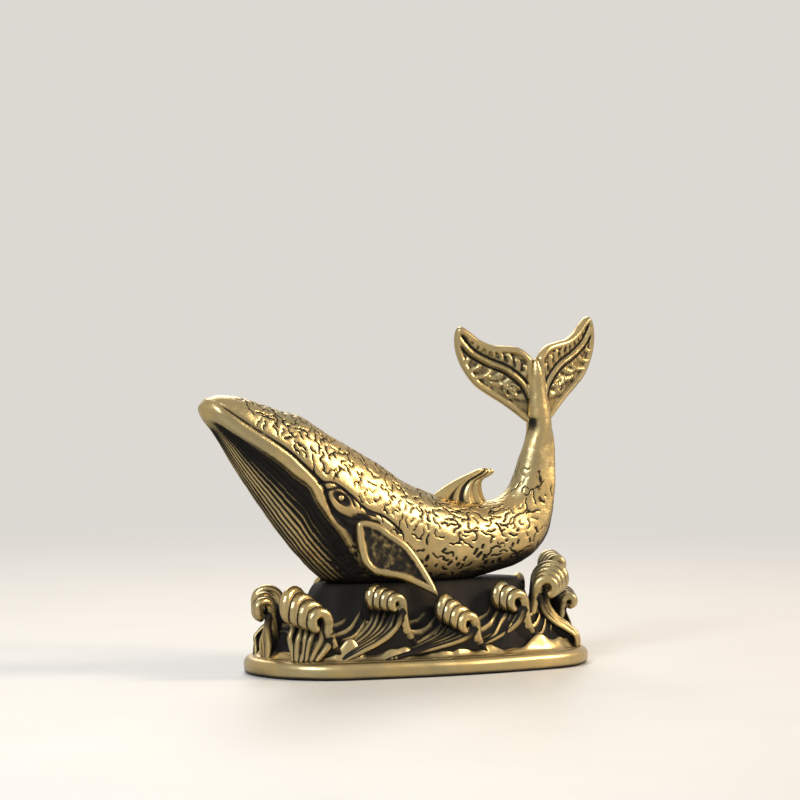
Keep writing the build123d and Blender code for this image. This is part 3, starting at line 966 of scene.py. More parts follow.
    def engrave(self) -> None:
        """Covers the head, back and flanks with strokes, denser on top."""
        self.plain = self.points.copy()
        self.relief = np.zeros(self.points.shape[:2])
        engraver = Engraver(23)
        draw = engraver.draw
        groove = even_curve(self.lip_groove, 60)
        taken: list = []
        for _ in range(self.strokes_tried):
            row, column = int(draw.integers(12, self.rows - 30)), int(draw.integers(0, self.columns))
            place, turn, along = self.plain[row, column], self.folded[row, column], row / self.rows
            if place[0] < self.bare_snout + 0.9 * draw.random() or turn > 2.75:
                continue
            if self.left_bare(place, turn, groove) or along > 0.78 or (along > 0.68 and draw.random() < 0.7):
                continue
            head = place[0] < 1.0 and place[2] > 13.0 and turn < 1.75
            spacing = self.head_spacing if head else self.flank_spacing
            if taken and np.abs(np.array(taken[-900:]) - place).sum(axis=1).min() < spacing:
                continue
            taken.append(place)
            if head or draw.random() < 0.25:
                stroke = engraver.curl()
            elif turn > 1.45 and draw.random() < 0.55:
                stroke = engraver.pit()
            else:
                stroke = engraver.ripple()
            if along > 0.66:
                stroke.depth *= 0.55
            self.carve(row, column, stroke)
        self.shift(self.relief)
        self.tone *= 1 - 0.97 * smooth_step(0.015, 0.07, -self.relief)

    def roughen_and_shade(self) -> None:
        """Leaves the slight unevenness of a casting, darkens the lower belly with patina and painted shade,
        and paints shadow round the fin roots.
        """
        soft = 0.045 * self.noise.at(self.points, 1.6) + 0.02 * self.noise.at(self.points, 0.7)
        self.shift(soft * smooth_step(-23.5, -20.0, self.points[..., 0]))
        x, _, z = np.moveaxis(self.points, -1, 0)
        # the lower belly: partly patina that polishing misses, partly painted shade on the underside
        low = smooth_step(1.9, 2.6, self.folded) * smooth_step(*self.belly_start, x)
        low *= 1 - smooth_step(*self.belly_top, z)
        # painted shadow round the flipper roots, where the flipper shades the body
        root = np.hypot(x - self.fin_root_place[0], (z - self.fin_root_place[1]) / 1.2)
        self.tone *= (1 - 0.50 * low) * (1 - 0.9 * bell(root, self.fin_root_radius, 4))

    def shape_stock(self) -> None:
        """Gives the tail stock its flat faces, the edge behind them, a mottled dark stripe and the notch
        above it with painted shade in it, and paints shade on the lower flanks.
        """
        x, y, z = np.moveaxis(self.points, -1, 0)
        stock = smooth_step(*self.stock_foot, z) * (1 - smooth_step(*self.stock_head, z))
        stock = stock * smooth_step(*self.stock_start, x)
        facet, edge = bell(self.folded - 1.25, 0.45) * stock, bell(self.folded - 2.05, 0.22) * stock
        foot, full, waning, head = self.dark_stripe_heights
        dark_stripe = bell(x - self.dark_stripe_x, self.dark_stripe_width) * smooth_step(foot, full, z)
        dark_stripe = dark_stripe * (1 - smooth_step(waning, head, z)) * (y < 0)
        foot, full, waning, head = self.notch_heights
        notch = bell(x - self.notch_x, self.notch_width) * (1 - smooth_step(waning, head, z))
        notch = notch * smooth_step(foot, full, z) * (y < 0)
        self.shift(0.26 * edge - 0.16 * facet - 0.12 * notch)
        mottle = np.clip(0.5 + 1.8 * Noise(43).at(self.points, 0.55), 0.0, 1.0)
        # the facets a little darker, painted shade in the notch, and the mottled dark stripe
        self.tone *= (1 - 0.28 * facet) * (1 - 0.74 * notch) * (1 - 0.66 * dark_stripe * mottle)
        # painted shade: the lower flanks darker, from behind the head to the tail
        flank = smooth_step(1.25, 2.2, self.folded) * smooth_step(*self.flank_start, self.points[..., 0])
        self.tone *= 1 - 0.44 * flank

    def build_eyes(self) -> bpy.types.Object:
        """Makes the two eyeballs, each a little flattened, as one dressed piece.

        Returns:
            The piece that holds both eyeballs.
        """
        grids = []
        turns = np.linspace(0, FULL_TURN, 32, endpoint=False)
        x_share, z_share, y_share = self.eye_shares
        for side in Side:
            place = whale_point(x_share, z_share, side.value * y_share)
            rings = []
            for lift in np.linspace(0.15, math.pi - 0.15, 18):
                out, up = math.sin(lift) * np.cos(turns), math.sin(lift) * np.sin(turns) * 0.92
                across = np.full(len(turns), side.value * math.cos(lift))
                rings.append(place + np.stack([out, across, up], axis=1) * self.eye_radius)
            grids.append(np.stack(rings))
        return dress(closed_piece("eye_beads_cast", grids), 1.0, Brass.BEADS, "eye_beads")

    def build(self) -> bpy.types.Object:
        """Makes the whale's body and dresses it.

        Returns:
            The body piece.
        """
        self.shape_mouth()
        self.shape_eyes()
        self.engrave()
        self.roughen_and_shade()
        self.shape_stock()
        piece = closed_piece("whale_skin", [self.points])
        return dress(piece, self.tone, Brass.SKIN, "whale_body", "lower_jaw")


@dataclass
class RimmedPlate:
    """A leaf-shaped plate with a raised rim round a worked middle, lying in its own x, y plane.

    A vein holds its line, its rise and its half width.
    """

    outline: np.ndarray
    middle: np.ndarray
    relief: Relief
    veins: list
    seed: int
    thickness: float = 1.1
    edge_radius: float = 0.42
    rim_width: float = 0.62
    dish_depth: float = 0.26
    rings: int = 46

    @classmethod
    def scaled(cls, shares: tuple, middle: tuple, size: np.ndarray, *rest: object) -> "RimmedPlate":
        """Makes a plate from an outline and a middle given as shares of its size.

        Args:
            shares: The outline's points.
            middle: The plate's middle.
            size: Its length and width.
            *rest: The plate's other values.

        Returns:
            The plate.
        """
        outline = even_curve([tuple(np.array(point) * size) for point in shares], 300, closed=True)
        return cls(outline, np.array(middle) * size, *rest)

    def height(self, flat: np.ndarray) -> tuple[np.ndarray, np.ndarray]:
        """Gives the face's height and tone over the plate.

        Args:
            flat: Places on the plate.

        Returns:
            The height above the plate's middle plane, and the tone.
        """
        gap = line_distance(flat, looped(self.outline))[0]
        rounding = np.sqrt(np.clip(1 - (1 - np.clip(gap / self.edge_radius, 0, 1)) ** 2, 0, 1))
        inside = smooth_step(self.rim_width * 0.75, self.rim_width * 1.35, gap)
        height = self.thickness / 2 * rounding - self.dish_depth * inside
        tone = 1 - 0.55 * inside
        place, noise = raised(flat, 0.0), Noise(self.seed)
        if self.relief is Relief.HAMMERED:
            bumps = noise.at(place, 0.75) + 0.6 * noise.at(place, 0.38)
            height += 0.07 * bumps * inside
            tone += (0.14 * np.clip(bumps, -1, 1) - 0.20) * inside
        else:
            height += 0.03 * noise.at(place, 0.5) * inside
        for line, rise, half_width in self.veins:
            ridge = bell(line_distance(flat, line)[0], half_width) * inside
            height += rise * ridge
            tone += math.copysign(0.6, rise) * ridge
        return height, np.clip(tone, 0, 1)

    def faces(self) -> tuple[np.ndarray, np.ndarray]:
        """Gives both faces as one closed grid, from the front's middle over the rim to the back's.

        Returns:
            The grid's points and tones.
        """
        inner, outer = np.linspace(0.02, 0.80, self.rings // 2), np.linspace(0.82, 1.0, self.rings // 2)
        shares = np.concatenate([inner, outer])[:, None, None]
        flat = self.middle + (self.outline[None, :, :] - self.middle) * shares
        height, tone = self.height(flat)
        height[-1] = 0.0
        back = raised(flat, -height)[::-1]
        return np.concatenate([raised(flat, height), back[1:]]), np.concatenate([tone, tone[::-1][1:]])


def place_grid(points: np.ndarray, frame: Matrix) -> np.ndarray:
    """Moves points from a plate's own frame into the whale's."""
    return points @ np.array(frame.to_3x3()).T + np.array(frame.to_translation())


def frame_of(origin: np.ndarray, x_axis: np.ndarray, z_axis: np.ndarray) -> Matrix:
    """Makes a frame from its origin, its x direction and its z direction.

    Args:
        origin: Where it stands.
        x_axis: Its x direction, of any length.
        z_axis: Its z direction, of any length.

    Returns:
        The frame, which turns and moves its own points into place.
    """
    x_axis, z_axis = unit(np.array(x_axis)), unit(np.array(z_axis))
    frame = Matrix.Identity(4)
    for column, axis in enumerate((x_axis, np.cross(z_axis, x_axis), z_axis, np.array(origin))):
        for row in range(3):
            frame[row][column] = axis[row]
    return frame


@dataclass
class Flipper:
    """A leaf-shaped flipper with a polished rim round a hammered middle."""

    side: Side
    length: float = 10.6
    width: float = 4.7
    root_shares: tuple = (0.380, 0.259, -0.98)
    tip_shares: tuple = (0.565, 0.000, -1.54)
    outline_shares: tuple = (
        (-0.03, -0.03), (0.02, 0.16), (0.17, 0.31), (0.29, 0.34), (0.44, 0.39), (0.59, 0.35),
        (0.78, 0.23), (0.94, 0.10), (1.00, -0.01), (0.91, -0.09), (0.78, -0.18), (0.65, -0.28),
        (0.51, -0.47), (0.40, -0.60), (0.28, -0.59), (0.16, -0.43), (0.05, -0.23),
    )
    middle_shares: tuple = (0.42, -0.08)

    def build(self) -> bpy.types.Object:
        """Makes the flipper and dresses it.

        Returns:
            The flipper piece.
        """
        size = np.array([self.length, self.width])
        plate = RimmedPlate.scaled(self.outline_shares, self.middle_shares, size, Relief.HAMMERED, [], 5)
        root, tip = whale_point(*self.root_shares), whale_point(*self.tip_shares)
        along = unit(tip - root)
        outward = np.array([0.0, -1.0, 0.0])
        outward = outward - along * (outward @ along)
        points, tone = plate.faces()
        points = place_grid(points, frame_of(root, along, outward))
        if self.side is Side.RIGHT:
            points = points * MIRROR_Y
        name = f"flipper_{self.side.name.lower()}"
        return dress(closed_piece(f"{name}_cast", [points]), tone, Brass.FINS, name)


@dataclass
class Flukes:
    """The two tail lobes on either side of the stock's tip."""

    half_span: float = 8.3
    height: float = 10.17
    cup: float = 17.5
    lean: float = 4.0
    twist: float = 85.0
    root: tuple = (14.1, 0.0, 24.997)
    lobe_shares: tuple = (
        (0.145, -0.03), (0.320, 0.09), (0.470, 0.19), (0.640, 0.29), (0.785, 0.39), (0.895, 0.52),
        (0.965, 0.65), (1.000, 0.79), (0.990, 0.92), (0.945, 0.99), (0.880, 0.99), (0.785, 0.93),
        (0.675, 0.85), (0.530, 0.79), (0.360, 0.77), (0.190, 0.74), (0.060, 0.65), (0.03, 0.58),
        (0.03, 0.30), (0.03, -0.03),
    )
    middle_shares: tuple = (0.58, 0.58)
    vein_shares: tuple = ((0.06, 0.16), (0.16, 0.36), (0.36, 0.52), (0.60, 0.62), (0.80, 0.73), (0.93, 0.87))
    scroll_shares: tuple = (0.33, 0.30)
    vein_gap: float = 0.72
    groove_gap: float = 0.42

    def frame(self) -> Matrix:
        """Gives the upright, leaning frame at the top of the stock."""
        twist = Matrix.Rotation(math.radians(self.twist), 3, "Z")
        outward, rightward = (np.array(twist @ Vector(axis)) for axis in ((-1, 0, 0), (0, -1, 0)))
        return frame_of(self.root, rightward, outward) @ Matrix.Rotation(math.radians(self.lean), 4, "Z")

    def veins(self, size: np.ndarray) -> list:
        """Lays out the middle vein of a lobe, the side veins that leave it and the scroll.

        Args:
            size: The lobe's span and height.

        Returns:
            For each vein its line, its rise and its half width.
        """
        spine = even_curve(self.vein_shares, 60) * size
        heading = unit(np.gradient(spine, axis=0))
        upward = np.stack([-heading[:, 1], heading[:, 0]], axis=1)
        grooves = (spine + self.groove_gap * upward, spine - self.groove_gap * upward)
        lines = [(spine, 0.30, 0.24)] + [(groove, -0.10, 0.09) for groove in grooves]
        for start in range(10, 56, 5):
            root = spine[start] + self.vein_gap * upward[start]
            lines.append((self.hook(root, upward[start] + 0.35 * heading[start], 0.95, -0.10), 0.26, 0.17))
        for number, start in enumerate(range(6, 50, 7)):
            root = spine[start] - self.vein_gap * upward[start]
            way = -upward[start] + (0.25 + 0.15 * (number % 2)) * heading[start]
            lines.append((self.hook(root, way, 1.3 + 0.35 * (number % 3), 0.13), 0.22, 0.19))
        turns = np.linspace(0, 1.45 * FULL_TURN, 26)
        coil = np.stack([np.cos(turns), np.sin(turns)], axis=1) * (0.12 + 0.085 * turns)[:, None]
        return lines + [(np.array(self.scroll_shares) * size + coil, 0.22, 0.13)]

    @staticmethod
    def hook(root: np.ndarray, way: np.ndarray, reach: float, bend: float, steps: int = 9) -> np.ndarray:
        """Draws a short curved stroke.

        Args:
            root: Where it starts.
            way: Its first heading.
            reach: Its length.
            bend: How far its heading turns at each step.
            steps: How many straight runs it has.

        Returns:
            The stroke's points.
        """
        angle = math.atan2(way[1], way[0])
        points = [root]
        for step in range(steps):
            heading = angle + bend * step
            points.append(points[-1] + np.array([math.cos(heading), math.sin(heading)]) * reach / steps)
        return np.array(points)

    def build(self) -> list:
        """Makes the two lobes and dresses them.

        Returns:
            The near lobe and the far lobe.
        """
        size = np.array([self.half_span, self.height])
        veins = self.veins(size)
        plate = RimmedPlate.scaled(self.lobe_shares, self.middle_shares, size, Relief.VEINED, veins, 7)
        points, tone = plate.faces()
        pieces = []
        for side, name in ((-1, "fluke_lobe_near"), (1, "fluke_lobe_far")):
            lobe = points * MIRROR_X if side < 0 else points
            lobe = place_grid(lobe, Matrix.Rotation(math.radians(side * self.cup), 4, "Y"))
            piece = closed_piece(name, [place_grid(lobe, self.frame())])
            pieces.append(dress(piece, tone, Brass.FINS, "flukes"))
        return pieces


@dataclass
class DorsalFin:
    """The small hooked fin on the back, ridged on both sides.

    A row holds its height, its front, its back and its thickness, as shares.
    """

    height: float = 4.6
    length: float = 7.6
    half_thickness: float = 1.1
    hollow_share: float = 0.42
    rib_share: float = 0.15
    place_shares: tuple = (0.628, 0.272)
    ring_points: int = 120
    ring_count: int = 90
    row_shares: tuple = (
        (0.00, -0.14, 0.95, 1.00), (0.20, -0.05, 0.93, 0.88), (0.40, 0.08, 0.87, 0.76),
        (0.60, 0.26, 0.84, 0.66), (0.74, 0.42, 0.86, 0.62), (0.81, 0.51, 0.94, 0.60),
        (0.87, 0.60, 1.01, 0.58), (0.92, 0.68, 1.03, 0.52), (0.97, 0.76, 1.01, 0.42),
        (1.00, 0.83, 0.95, 0.22),
    )

    def build(self) -> bpy.types.Object:
        """Makes the fin, with a ridge, a hollow behind it and ribs toward the back, and dresses it.

        Returns:
            The fin piece.
        """
        root = whale_point(*self.place_shares)
        turns = np.linspace(0, FULL_TURN, self.ring_points, endpoint=False)
        chord, side = np.cos(turns), np.sin(turns)
        hollow = bell(chord + 0.15, 0.38) * self.hollow_share
        rings, tones = [], []
        rows = np.array(self.row_shares)
        for height, front, back, thick in smooth_rows(rows, np.linspace(0, len(rows) - 1, self.ring_count)):
            middle, half = self.length * (front + back) / 2, self.length * (back - front) / 2
            ribs = self.rib_share * np.cos(chord * 15 + height * 5) * smooth_step(-0.6, 0.0, chord)
            width = self.half_thickness * thick * (1 - hollow + ribs) * side
            level = np.full(len(turns), root[2] + self.height * height)
            rings.append(np.stack([root[0] + middle + half * chord, root[1] + width, level], axis=1))
            tones.append(np.clip(1 - hollow * 1.3 + ribs * 3, 0, 1))
        piece = closed_piece("dorsal_fin_cast", [np.stack(rings)])
        return dress(piece, np.stack(tones), Brass.FINS, "dorsal_fin")


def kept_aboard(points: np.ndarray) -> np.ndarray:
    """Draws points that lie outside the foam's edge back to it.

    Args:
        points: Places in millimetres.

    Returns:
        The places, none beyond the foam.
    """
    reach = np.array([PLINTH_LENGTH, PLINTH_WIDTH]) / 2 - FOAM_MARGIN - 0.6
    over = (np.abs(points[:, :2] / reach) ** 3).sum(axis=1) ** (1 / 3)
    kept = points.copy()
    kept[:, :2] /= np.maximum(over, 1.0)[:, None]
    return kept


def rod_grid(line: np.ndarray, radii: np.ndarray, sides: int = 14) -> np.ndarray:
    """Wraps a round rod with rounded ends round a line.

    Args:
        line: The rod's middle line.
        radii: The rod's radius at each point of the line.
        sides: How many points go round the rod.

    Returns:
        The rod's grid.
    """
    heading = unit(np.gradient(line, axis=0))
    side = unit(np.cross(heading[0], [0.3, 0.2, 1.0]))
    turns = np.linspace(0, FULL_TURN, sides, endpoint=False)
    frames = []
    for way in heading:
        side = unit(side - way * (side @ way))
        frames.append((side, np.cross(way, side)))
    caps = (0.25, 0.7, 1.15)
    spans = [(0, -radii[0] * math.cos(cap), math.sin(cap)) for cap in caps]
    spans += [(index, 0.0, 1.0) for index in range(len(line))]
    spans += [(-1, radii[-1] * math.cos(cap), math.sin(cap)) for cap in reversed(caps)]
    rings = []
    for index, ahead, share in spans:
        one, two = frames[index]
        around = np.cos(turns)[:, None] * one + np.sin(turns)[:, None] * two
        rings.append(line[index] + heading[index] * ahead + radii[index] * share * around)
    return np.stack(rings)


def fuse(piece: bpy.types.Object, voxel: float) -> None:
    """Fuses the closed shells of a piece into one skin with soft fillets.

    Args:
        piece: The piece, made of closed shells.
        voxel: Size of the new faces in millimetres.
    """
    mesh = piece.data
    remesh = piece.modifiers.new("fuse", "REMESH")
    remesh.mode = "VOXEL"
    remesh.voxel_size = voxel * MM
    remesh.use_smooth_shade = True
    soften = piece.modifiers.new("soften", "SMOOTH")
    soften.factor = 0.5
    soften.iterations = 2
    graph = bpy.context.evaluated_depsgraph_get()
    fused = bpy.data.meshes.new_from_object(piece.evaluated_get(graph))
    piece.modifiers.clear()
    piece.data = fused
    bpy.data.meshes.remove(mesh)
    fused.polygons.foreach_set("use_smooth", [True] * len(fused.polygons))


@dataclass
class Rod:
    """A round rod along a line, with its tone at each point, 0 where it is dark and 1 where it is bare."""

    line: np.ndarray
    radii: np.ndarray
    tones: np.ndarray

    def gap_and_tone(self, places: np.ndarray) -> tuple[np.ndarray, np.ndarray]:
        """Measures places against the rod.

        Args:
            places: Places in millimetres.

        Returns:
            The distance from the rod's skin, and the rod's tone at its nearest point.
        """
        steps = np.arange(len(self.line))
        dense = np.linspace(0, len(self.line) - 1, 2 * len(self.line))
        columns = (*self.line.T, self.radii, self.tones)
        track = np.stack([np.interp(dense, steps, column) for column in columns], axis=1)
        gap, tone = np.full(len(places), FAR_OFF), np.zeros(len(places))
        for row in track:
            away = np.sqrt(((places - row[:3]) ** 2).sum(axis=1)) - row[3]
            closer = away < gap
            gap[closer], tone[closer] = away[closer], row[4]
        return gap, tone


@dataclass
class Crest:
    """One breaking wave: fat ribs that curl over a hollow, above a fan of strands.

    The start and the end of the roll are shares of half the plinth's length and width and of the crests'
    height. The curls are its headings in degrees at both ends, the rolls the shares of its radius there, and
    the foot is the share of the wave's reach. The sweep is how far its strands run sideways at the foam.
    """

    node: str
    start: tuple
    end: tuple
    ribs: int
    curls: tuple
    rolls: tuple
    foot: float
    sweep: float = 2.6
    roll_radius: float = 2.2
    wave_foot: float = 5.0
    back_flare: float = 2.2
    tip_angle: float = 236.0
    tighter_from: float = 140.0
    thinner_from: float = 185.0
    rib_share: float = 0.57
    least_rib: float = 0.50
    strand_share: float = 0.30
    most_strand: float = 0.31
    voxel: float = 0.09
    back_shares: tuple = ((1.0, 1.0, 0.50), (0.52, 0.74, 0.68), (0.22, 0.48, 0.85), (0.05, 0.22, 0.98))
    wall_shares: tuple = ((0.01, 0.84), (0.06, 0.55), (0.18, 0.34), (0.36, 0.20), (0.62, 0.04), (1.00, -0.24))

    def roll_centre(self, along: float) -> np.ndarray:
        """Gives the middle of the roll at a share of its length.

        Args:
            along: The share, 0 to 1.

        Returns:
            The place in millimetres.
        """
        reach = np.array([PLINTH_LENGTH / 2, PLINTH_WIDTH / 2, CREST_HEIGHT])
        foot = np.array([0.0, 0.0, PLINTH_THICKNESS])
        return between((foot + np.array(self.start) * reach, foot + np.array(self.end) * reach), along)

    def section(self, along: float) -> tuple[np.ndarray, np.ndarray, float]:
        """Gives the roll's centre, forward direction and radius at a share of its length.

        Args:
            along: The share, 0 to 1.

        Returns:
            The centre, the forward direction and the radius.
        """
        curl = math.radians(between(self.curls, along))
        forward = np.array([-math.sin(curl), -math.cos(curl), 0.0])
        return self.roll_centre(along), forward, self.roll_radius * between(self.rolls, along)

    def back_line(self, along: float, bend: float) -> list:
        """Lists the wave's back below the roll, as forward and upward offsets from the roll's centre.

        Args:
            along: The place along the roll, 0 to 1.
            bend: How far the back stands from the roll's centre.

        Returns:
            Offsets from the water up to the roll.
        """
        rise = self.roll_centre(along)[2] - WATER_LEVEL + 0.5
        flare = self.back_flare * rise / 5
        return [(-(bend + out * flare), -down * rise) for out, down, _ in self.back_shares]

    def rib(self, along: float, thick: float) -> Rod:
        """Makes a rib, up the back, over the top and down to the curled tip.

        Args:
            along: The rib's place along the roll, 0 to 1.
            thick: The rib's radius.

        Returns:
            The rib, with painted shade at its foot; on the last rib the painted shade ends lower down.
        """
        centre, forward, roll = self.section(along)
        bend = max(roll - thick, 0.35)
        offsets = self.back_line(along, bend)
        radii = [thick * share for _, _, share in self.back_shares]
        for angle in np.linspace(0, self.tip_angle, 16):
            turn = math.radians(angle)
            tight = 1 - 0.20 * max(angle - self.tighter_from, 0) / 92
            offsets.append((-bend * tight * math.cos(turn), bend * tight * math.sin(turn)))
            radii.append(thick * (1 - 0.22 * max(angle - self.thinner_from, 0) / 51))
        line = np.array([centre + forward * ahead + np.array([0.0, 0.0, up]) for ahead, up in offsets])
        # painted shade on the rib's foot, low on the wave's back; the last rib, at the wave's open end, is
        # lit further down
        tones = np.clip(np.linspace(-0.35, 3.6, len(line)), 0, 1)
        if along > 1 - 1 / self.ribs:
            tones[1:4] = (0.3, 0.9, 1.0)
        return Rod(line, np.array(radii), tones)

    def wall_line(self, along: float, ahead: float = 0.0, lift: float = 0.0) -> np.ndarray:
        """Gives the hollow front of the wave, from inside the roll down to the foam.

        Args:
            along: The place along the roll, 0 to 1.
            ahead: How far the line stands in front of the wall.
            lift: How far it stands above the wall.

        Returns:
            The line's points, whose lower end sweeps sideways along the trough.
        """
        centre, forward, roll = self.section(along)
        inner, drop = roll * 0.42, centre[2] - WATER_LEVEL
        spread = self.roll_centre(1.0) - self.roll_centre(0.0)
        points = []
        for reach, rise in self.wall_shares:
            out = (inner + self.wave_foot * self.foot) * reach - inner
            point = centre + forward * (out + ahead) + spread * (along - 0.5) * 0.05 * max(out, 0)
            point[0] -= math.copysign(self.sweep, self.curls[0]) * (1 - rise) ** 2.4
            point[2] = centre[2] + drop * (rise - 1) + lift
            points.append(point)
        return kept_aboard(np.array(points))

    def strand(self, along: float, thick: float, steps: int = 24) -> Rod:
        """Makes a wall strand, from inside the roll down to its toe.

        Args:
            along: The strand's place along the roll, 0 to 1.
            thick: The strand's radius.
            steps: How many points its line has.

        Returns:
            The strand, with painted shade inside the roll, under the curl.
        """
        line = even_curve(list(self.wall_line(along)), steps)
        sway = 0.09 * np.sin(np.linspace(0, 7.0, steps) + 23.0 * along)
        line[:, 0] += sway
        radii = thick * np.linspace(1.0, 0.85, steps) * (1 + 0.5 * sway)
        # painted shade: the strand is darker where it runs up under the curl
        return Rod(line, radii, np.linspace(0.3, 1.0, steps))

    def core(self) -> np.ndarray:
        """Gives the body of the wave under its ribs and strands, rounded off at both ends.

        Returns:
            The body's grid.
        """
        rings = []
        for along in np.linspace(0.06, 0.94, 2 * self.ribs + 1):
            centre, forward, roll = self.section(along)
            bend = roll * 0.66
            offsets = [(ahead + 0.34, up - 0.2) for ahead, up in self.back_line(along, bend)]
            for turn in map(math.radians, (0, 30, 60, 85)):
                offsets.append((-bend * math.cos(turn), bend * math.sin(turn)))
            offsets.append((-0.30 * roll, 0.35 * roll))
            ring = np.array([centre + forward * ahead + np.array([0.0, 0.0, up]) for ahead, up in offsets])
            ring = np.concatenate([kept_aboard(ring), self.wall_line(along, -0.16, -0.12)])
            pinch = 1 - 0.45 * abs(2 * along - 1) ** 5
            rings.append(ring.mean(axis=0) + (ring - ring.mean(axis=0)) * pinch)
        return np.stack(rings)

    @staticmethod
    def worn_and_shaded_tone(places: np.ndarray, rods: list) -> np.ndarray:
        """Gives each point of the crest its tone: bright on the worn rods, dark on the wall between them,
        with patina in the creases and painted shade on the hollow wall.

        Args:
            places: The fused crest's points in millimetres.
            rods: The ribs and strands.

        Returns:
            The tone of each point, 0 to 1.
        """
        nearest = np.full((2, len(places)), FAR_OFF)
        tone = np.zeros(len(places))
        for rod in rods:
            gap, rod_tone = rod.gap_and_tone(places)
            tone = np.where(gap < nearest[0], rod_tone, tone)
            nearest = np.sort(np.stack([nearest[0], nearest[1], gap]), axis=0)[:2]
        # patina in the creases between close rods, and painted shade on the wall away from the rods
        off_rod = np.clip(nearest[0] - 0.04, 0, None)
        return tone * bell(off_rod, 0.12) * (1 - 0.92 * bell(nearest[1] - nearest[0], 0.13))

    def build(self) -> bpy.types.Object:
        """Makes the crest as fused rods and a core, then dresses it.

        Returns:
            The crest piece.
        """
        spacing = float(np.linalg.norm(self.roll_centre(1.0) - self.roll_centre(0.0))) / self.ribs
        thick = max(spacing * self.rib_share, self.least_rib)
        thin = min(spacing * self.strand_share, self.most_strand)
        rods = [self.rib(along, thick) for along in (np.arange(self.ribs) + 0.5) / self.ribs]
        draw = np.random.default_rng(round(100 * abs(self.start[0])))
        strands = self.ribs + 2
        for along in np.linspace(0.04, 0.96, strands) + draw.uniform(-0.03, 0.03, strands):
            rods.append(self.strand(along, thin * draw.uniform(0.85, 1.15)))
        grids = [rod_grid(rod.line, rod.radii) for rod in rods]
        piece = closed_piece(f"{self.node}_cast", grids + [self.core()])
        fuse(piece, self.voxel)
        tone = self.worn_and_shaded_tone(mesh_points(piece.data) / MM, rods)
        return dress(piece, tone, Brass.WAVES, self.node)


CREST_ROWS = (
    ("bow_far", (-0.907, 0.094, 0.55), (-0.943, -0.083, 0.495), 2, (70, 80), (0.74, 0.58), 0.10, 0.3),
    ("bow_left", (-0.886, -0.458, 0.585), (-0.746, -0.719, 0.40), 4, (52, 90), (1.08, 0.64), 0.18, 0.8),
    ("fore_left", (-0.425, -0.542, 0.635), (-0.306, -0.750, 0.57), 4, (52, 92), (0.74, 0.50), 0.60),
    ("mid_left", (-0.021, -0.604, 0.505), (0.110, -0.813, 0.31), 4, (52, 92), (0.78, 0.60), 0.70),
    ("aft_left", (0.353, -0.490, 0.59), (0.455, -0.656, 0.51), 3, (52, 92), (0.80, 0.60), 0.60),
    ("stern_left", (0.784, -0.167, 0.715), (0.655, -0.479, 0.63), 4, (-50, -70), (1.00, 0.64), 0.60),
    ("stern_far", (0.93, 0.38, 0.86), (0.90, 0.10, 0.83), 4, (-70, -70), (0.62, 0.52), 0.08),
    ("stern_low", (0.92, 0.03, 0.50), (0.90, -0.16, 0.45), 4, (-70, -70), (0.58, 0.48), 0.14),
    ("bow_right", (-0.80, 0.42, 0.56), (-0.75, 0.72, 0.40), 4, (110, 95), (0.85, 0.70), 0.44),
    ("fore_right", (-0.42, 0.52, 0.66), (-0.36, 0.77, 0.52), 4, (110, 90), (0.75, 0.60), 0.80),
    ("mid_right", (0.02, 0.54, 0.60), (0.09, 0.80, 0.44), 4, (110, 90), (0.75, 0.60), 1.00),
    ("aft_right", (0.42, 0.50, 0.58), (0.49, 0.76, 0.40), 4, (110, 90), (0.72, 0.58), 0.85),
    ("stern_right", (0.74, 0.36, 0.60), (0.70, 0.62, 0.48), 4, (220, 250), (0.75, 0.60), 0.40),
)
CRESTS = [Crest(f"crest_{place}", *values) for place, *values in CREST_ROWS]


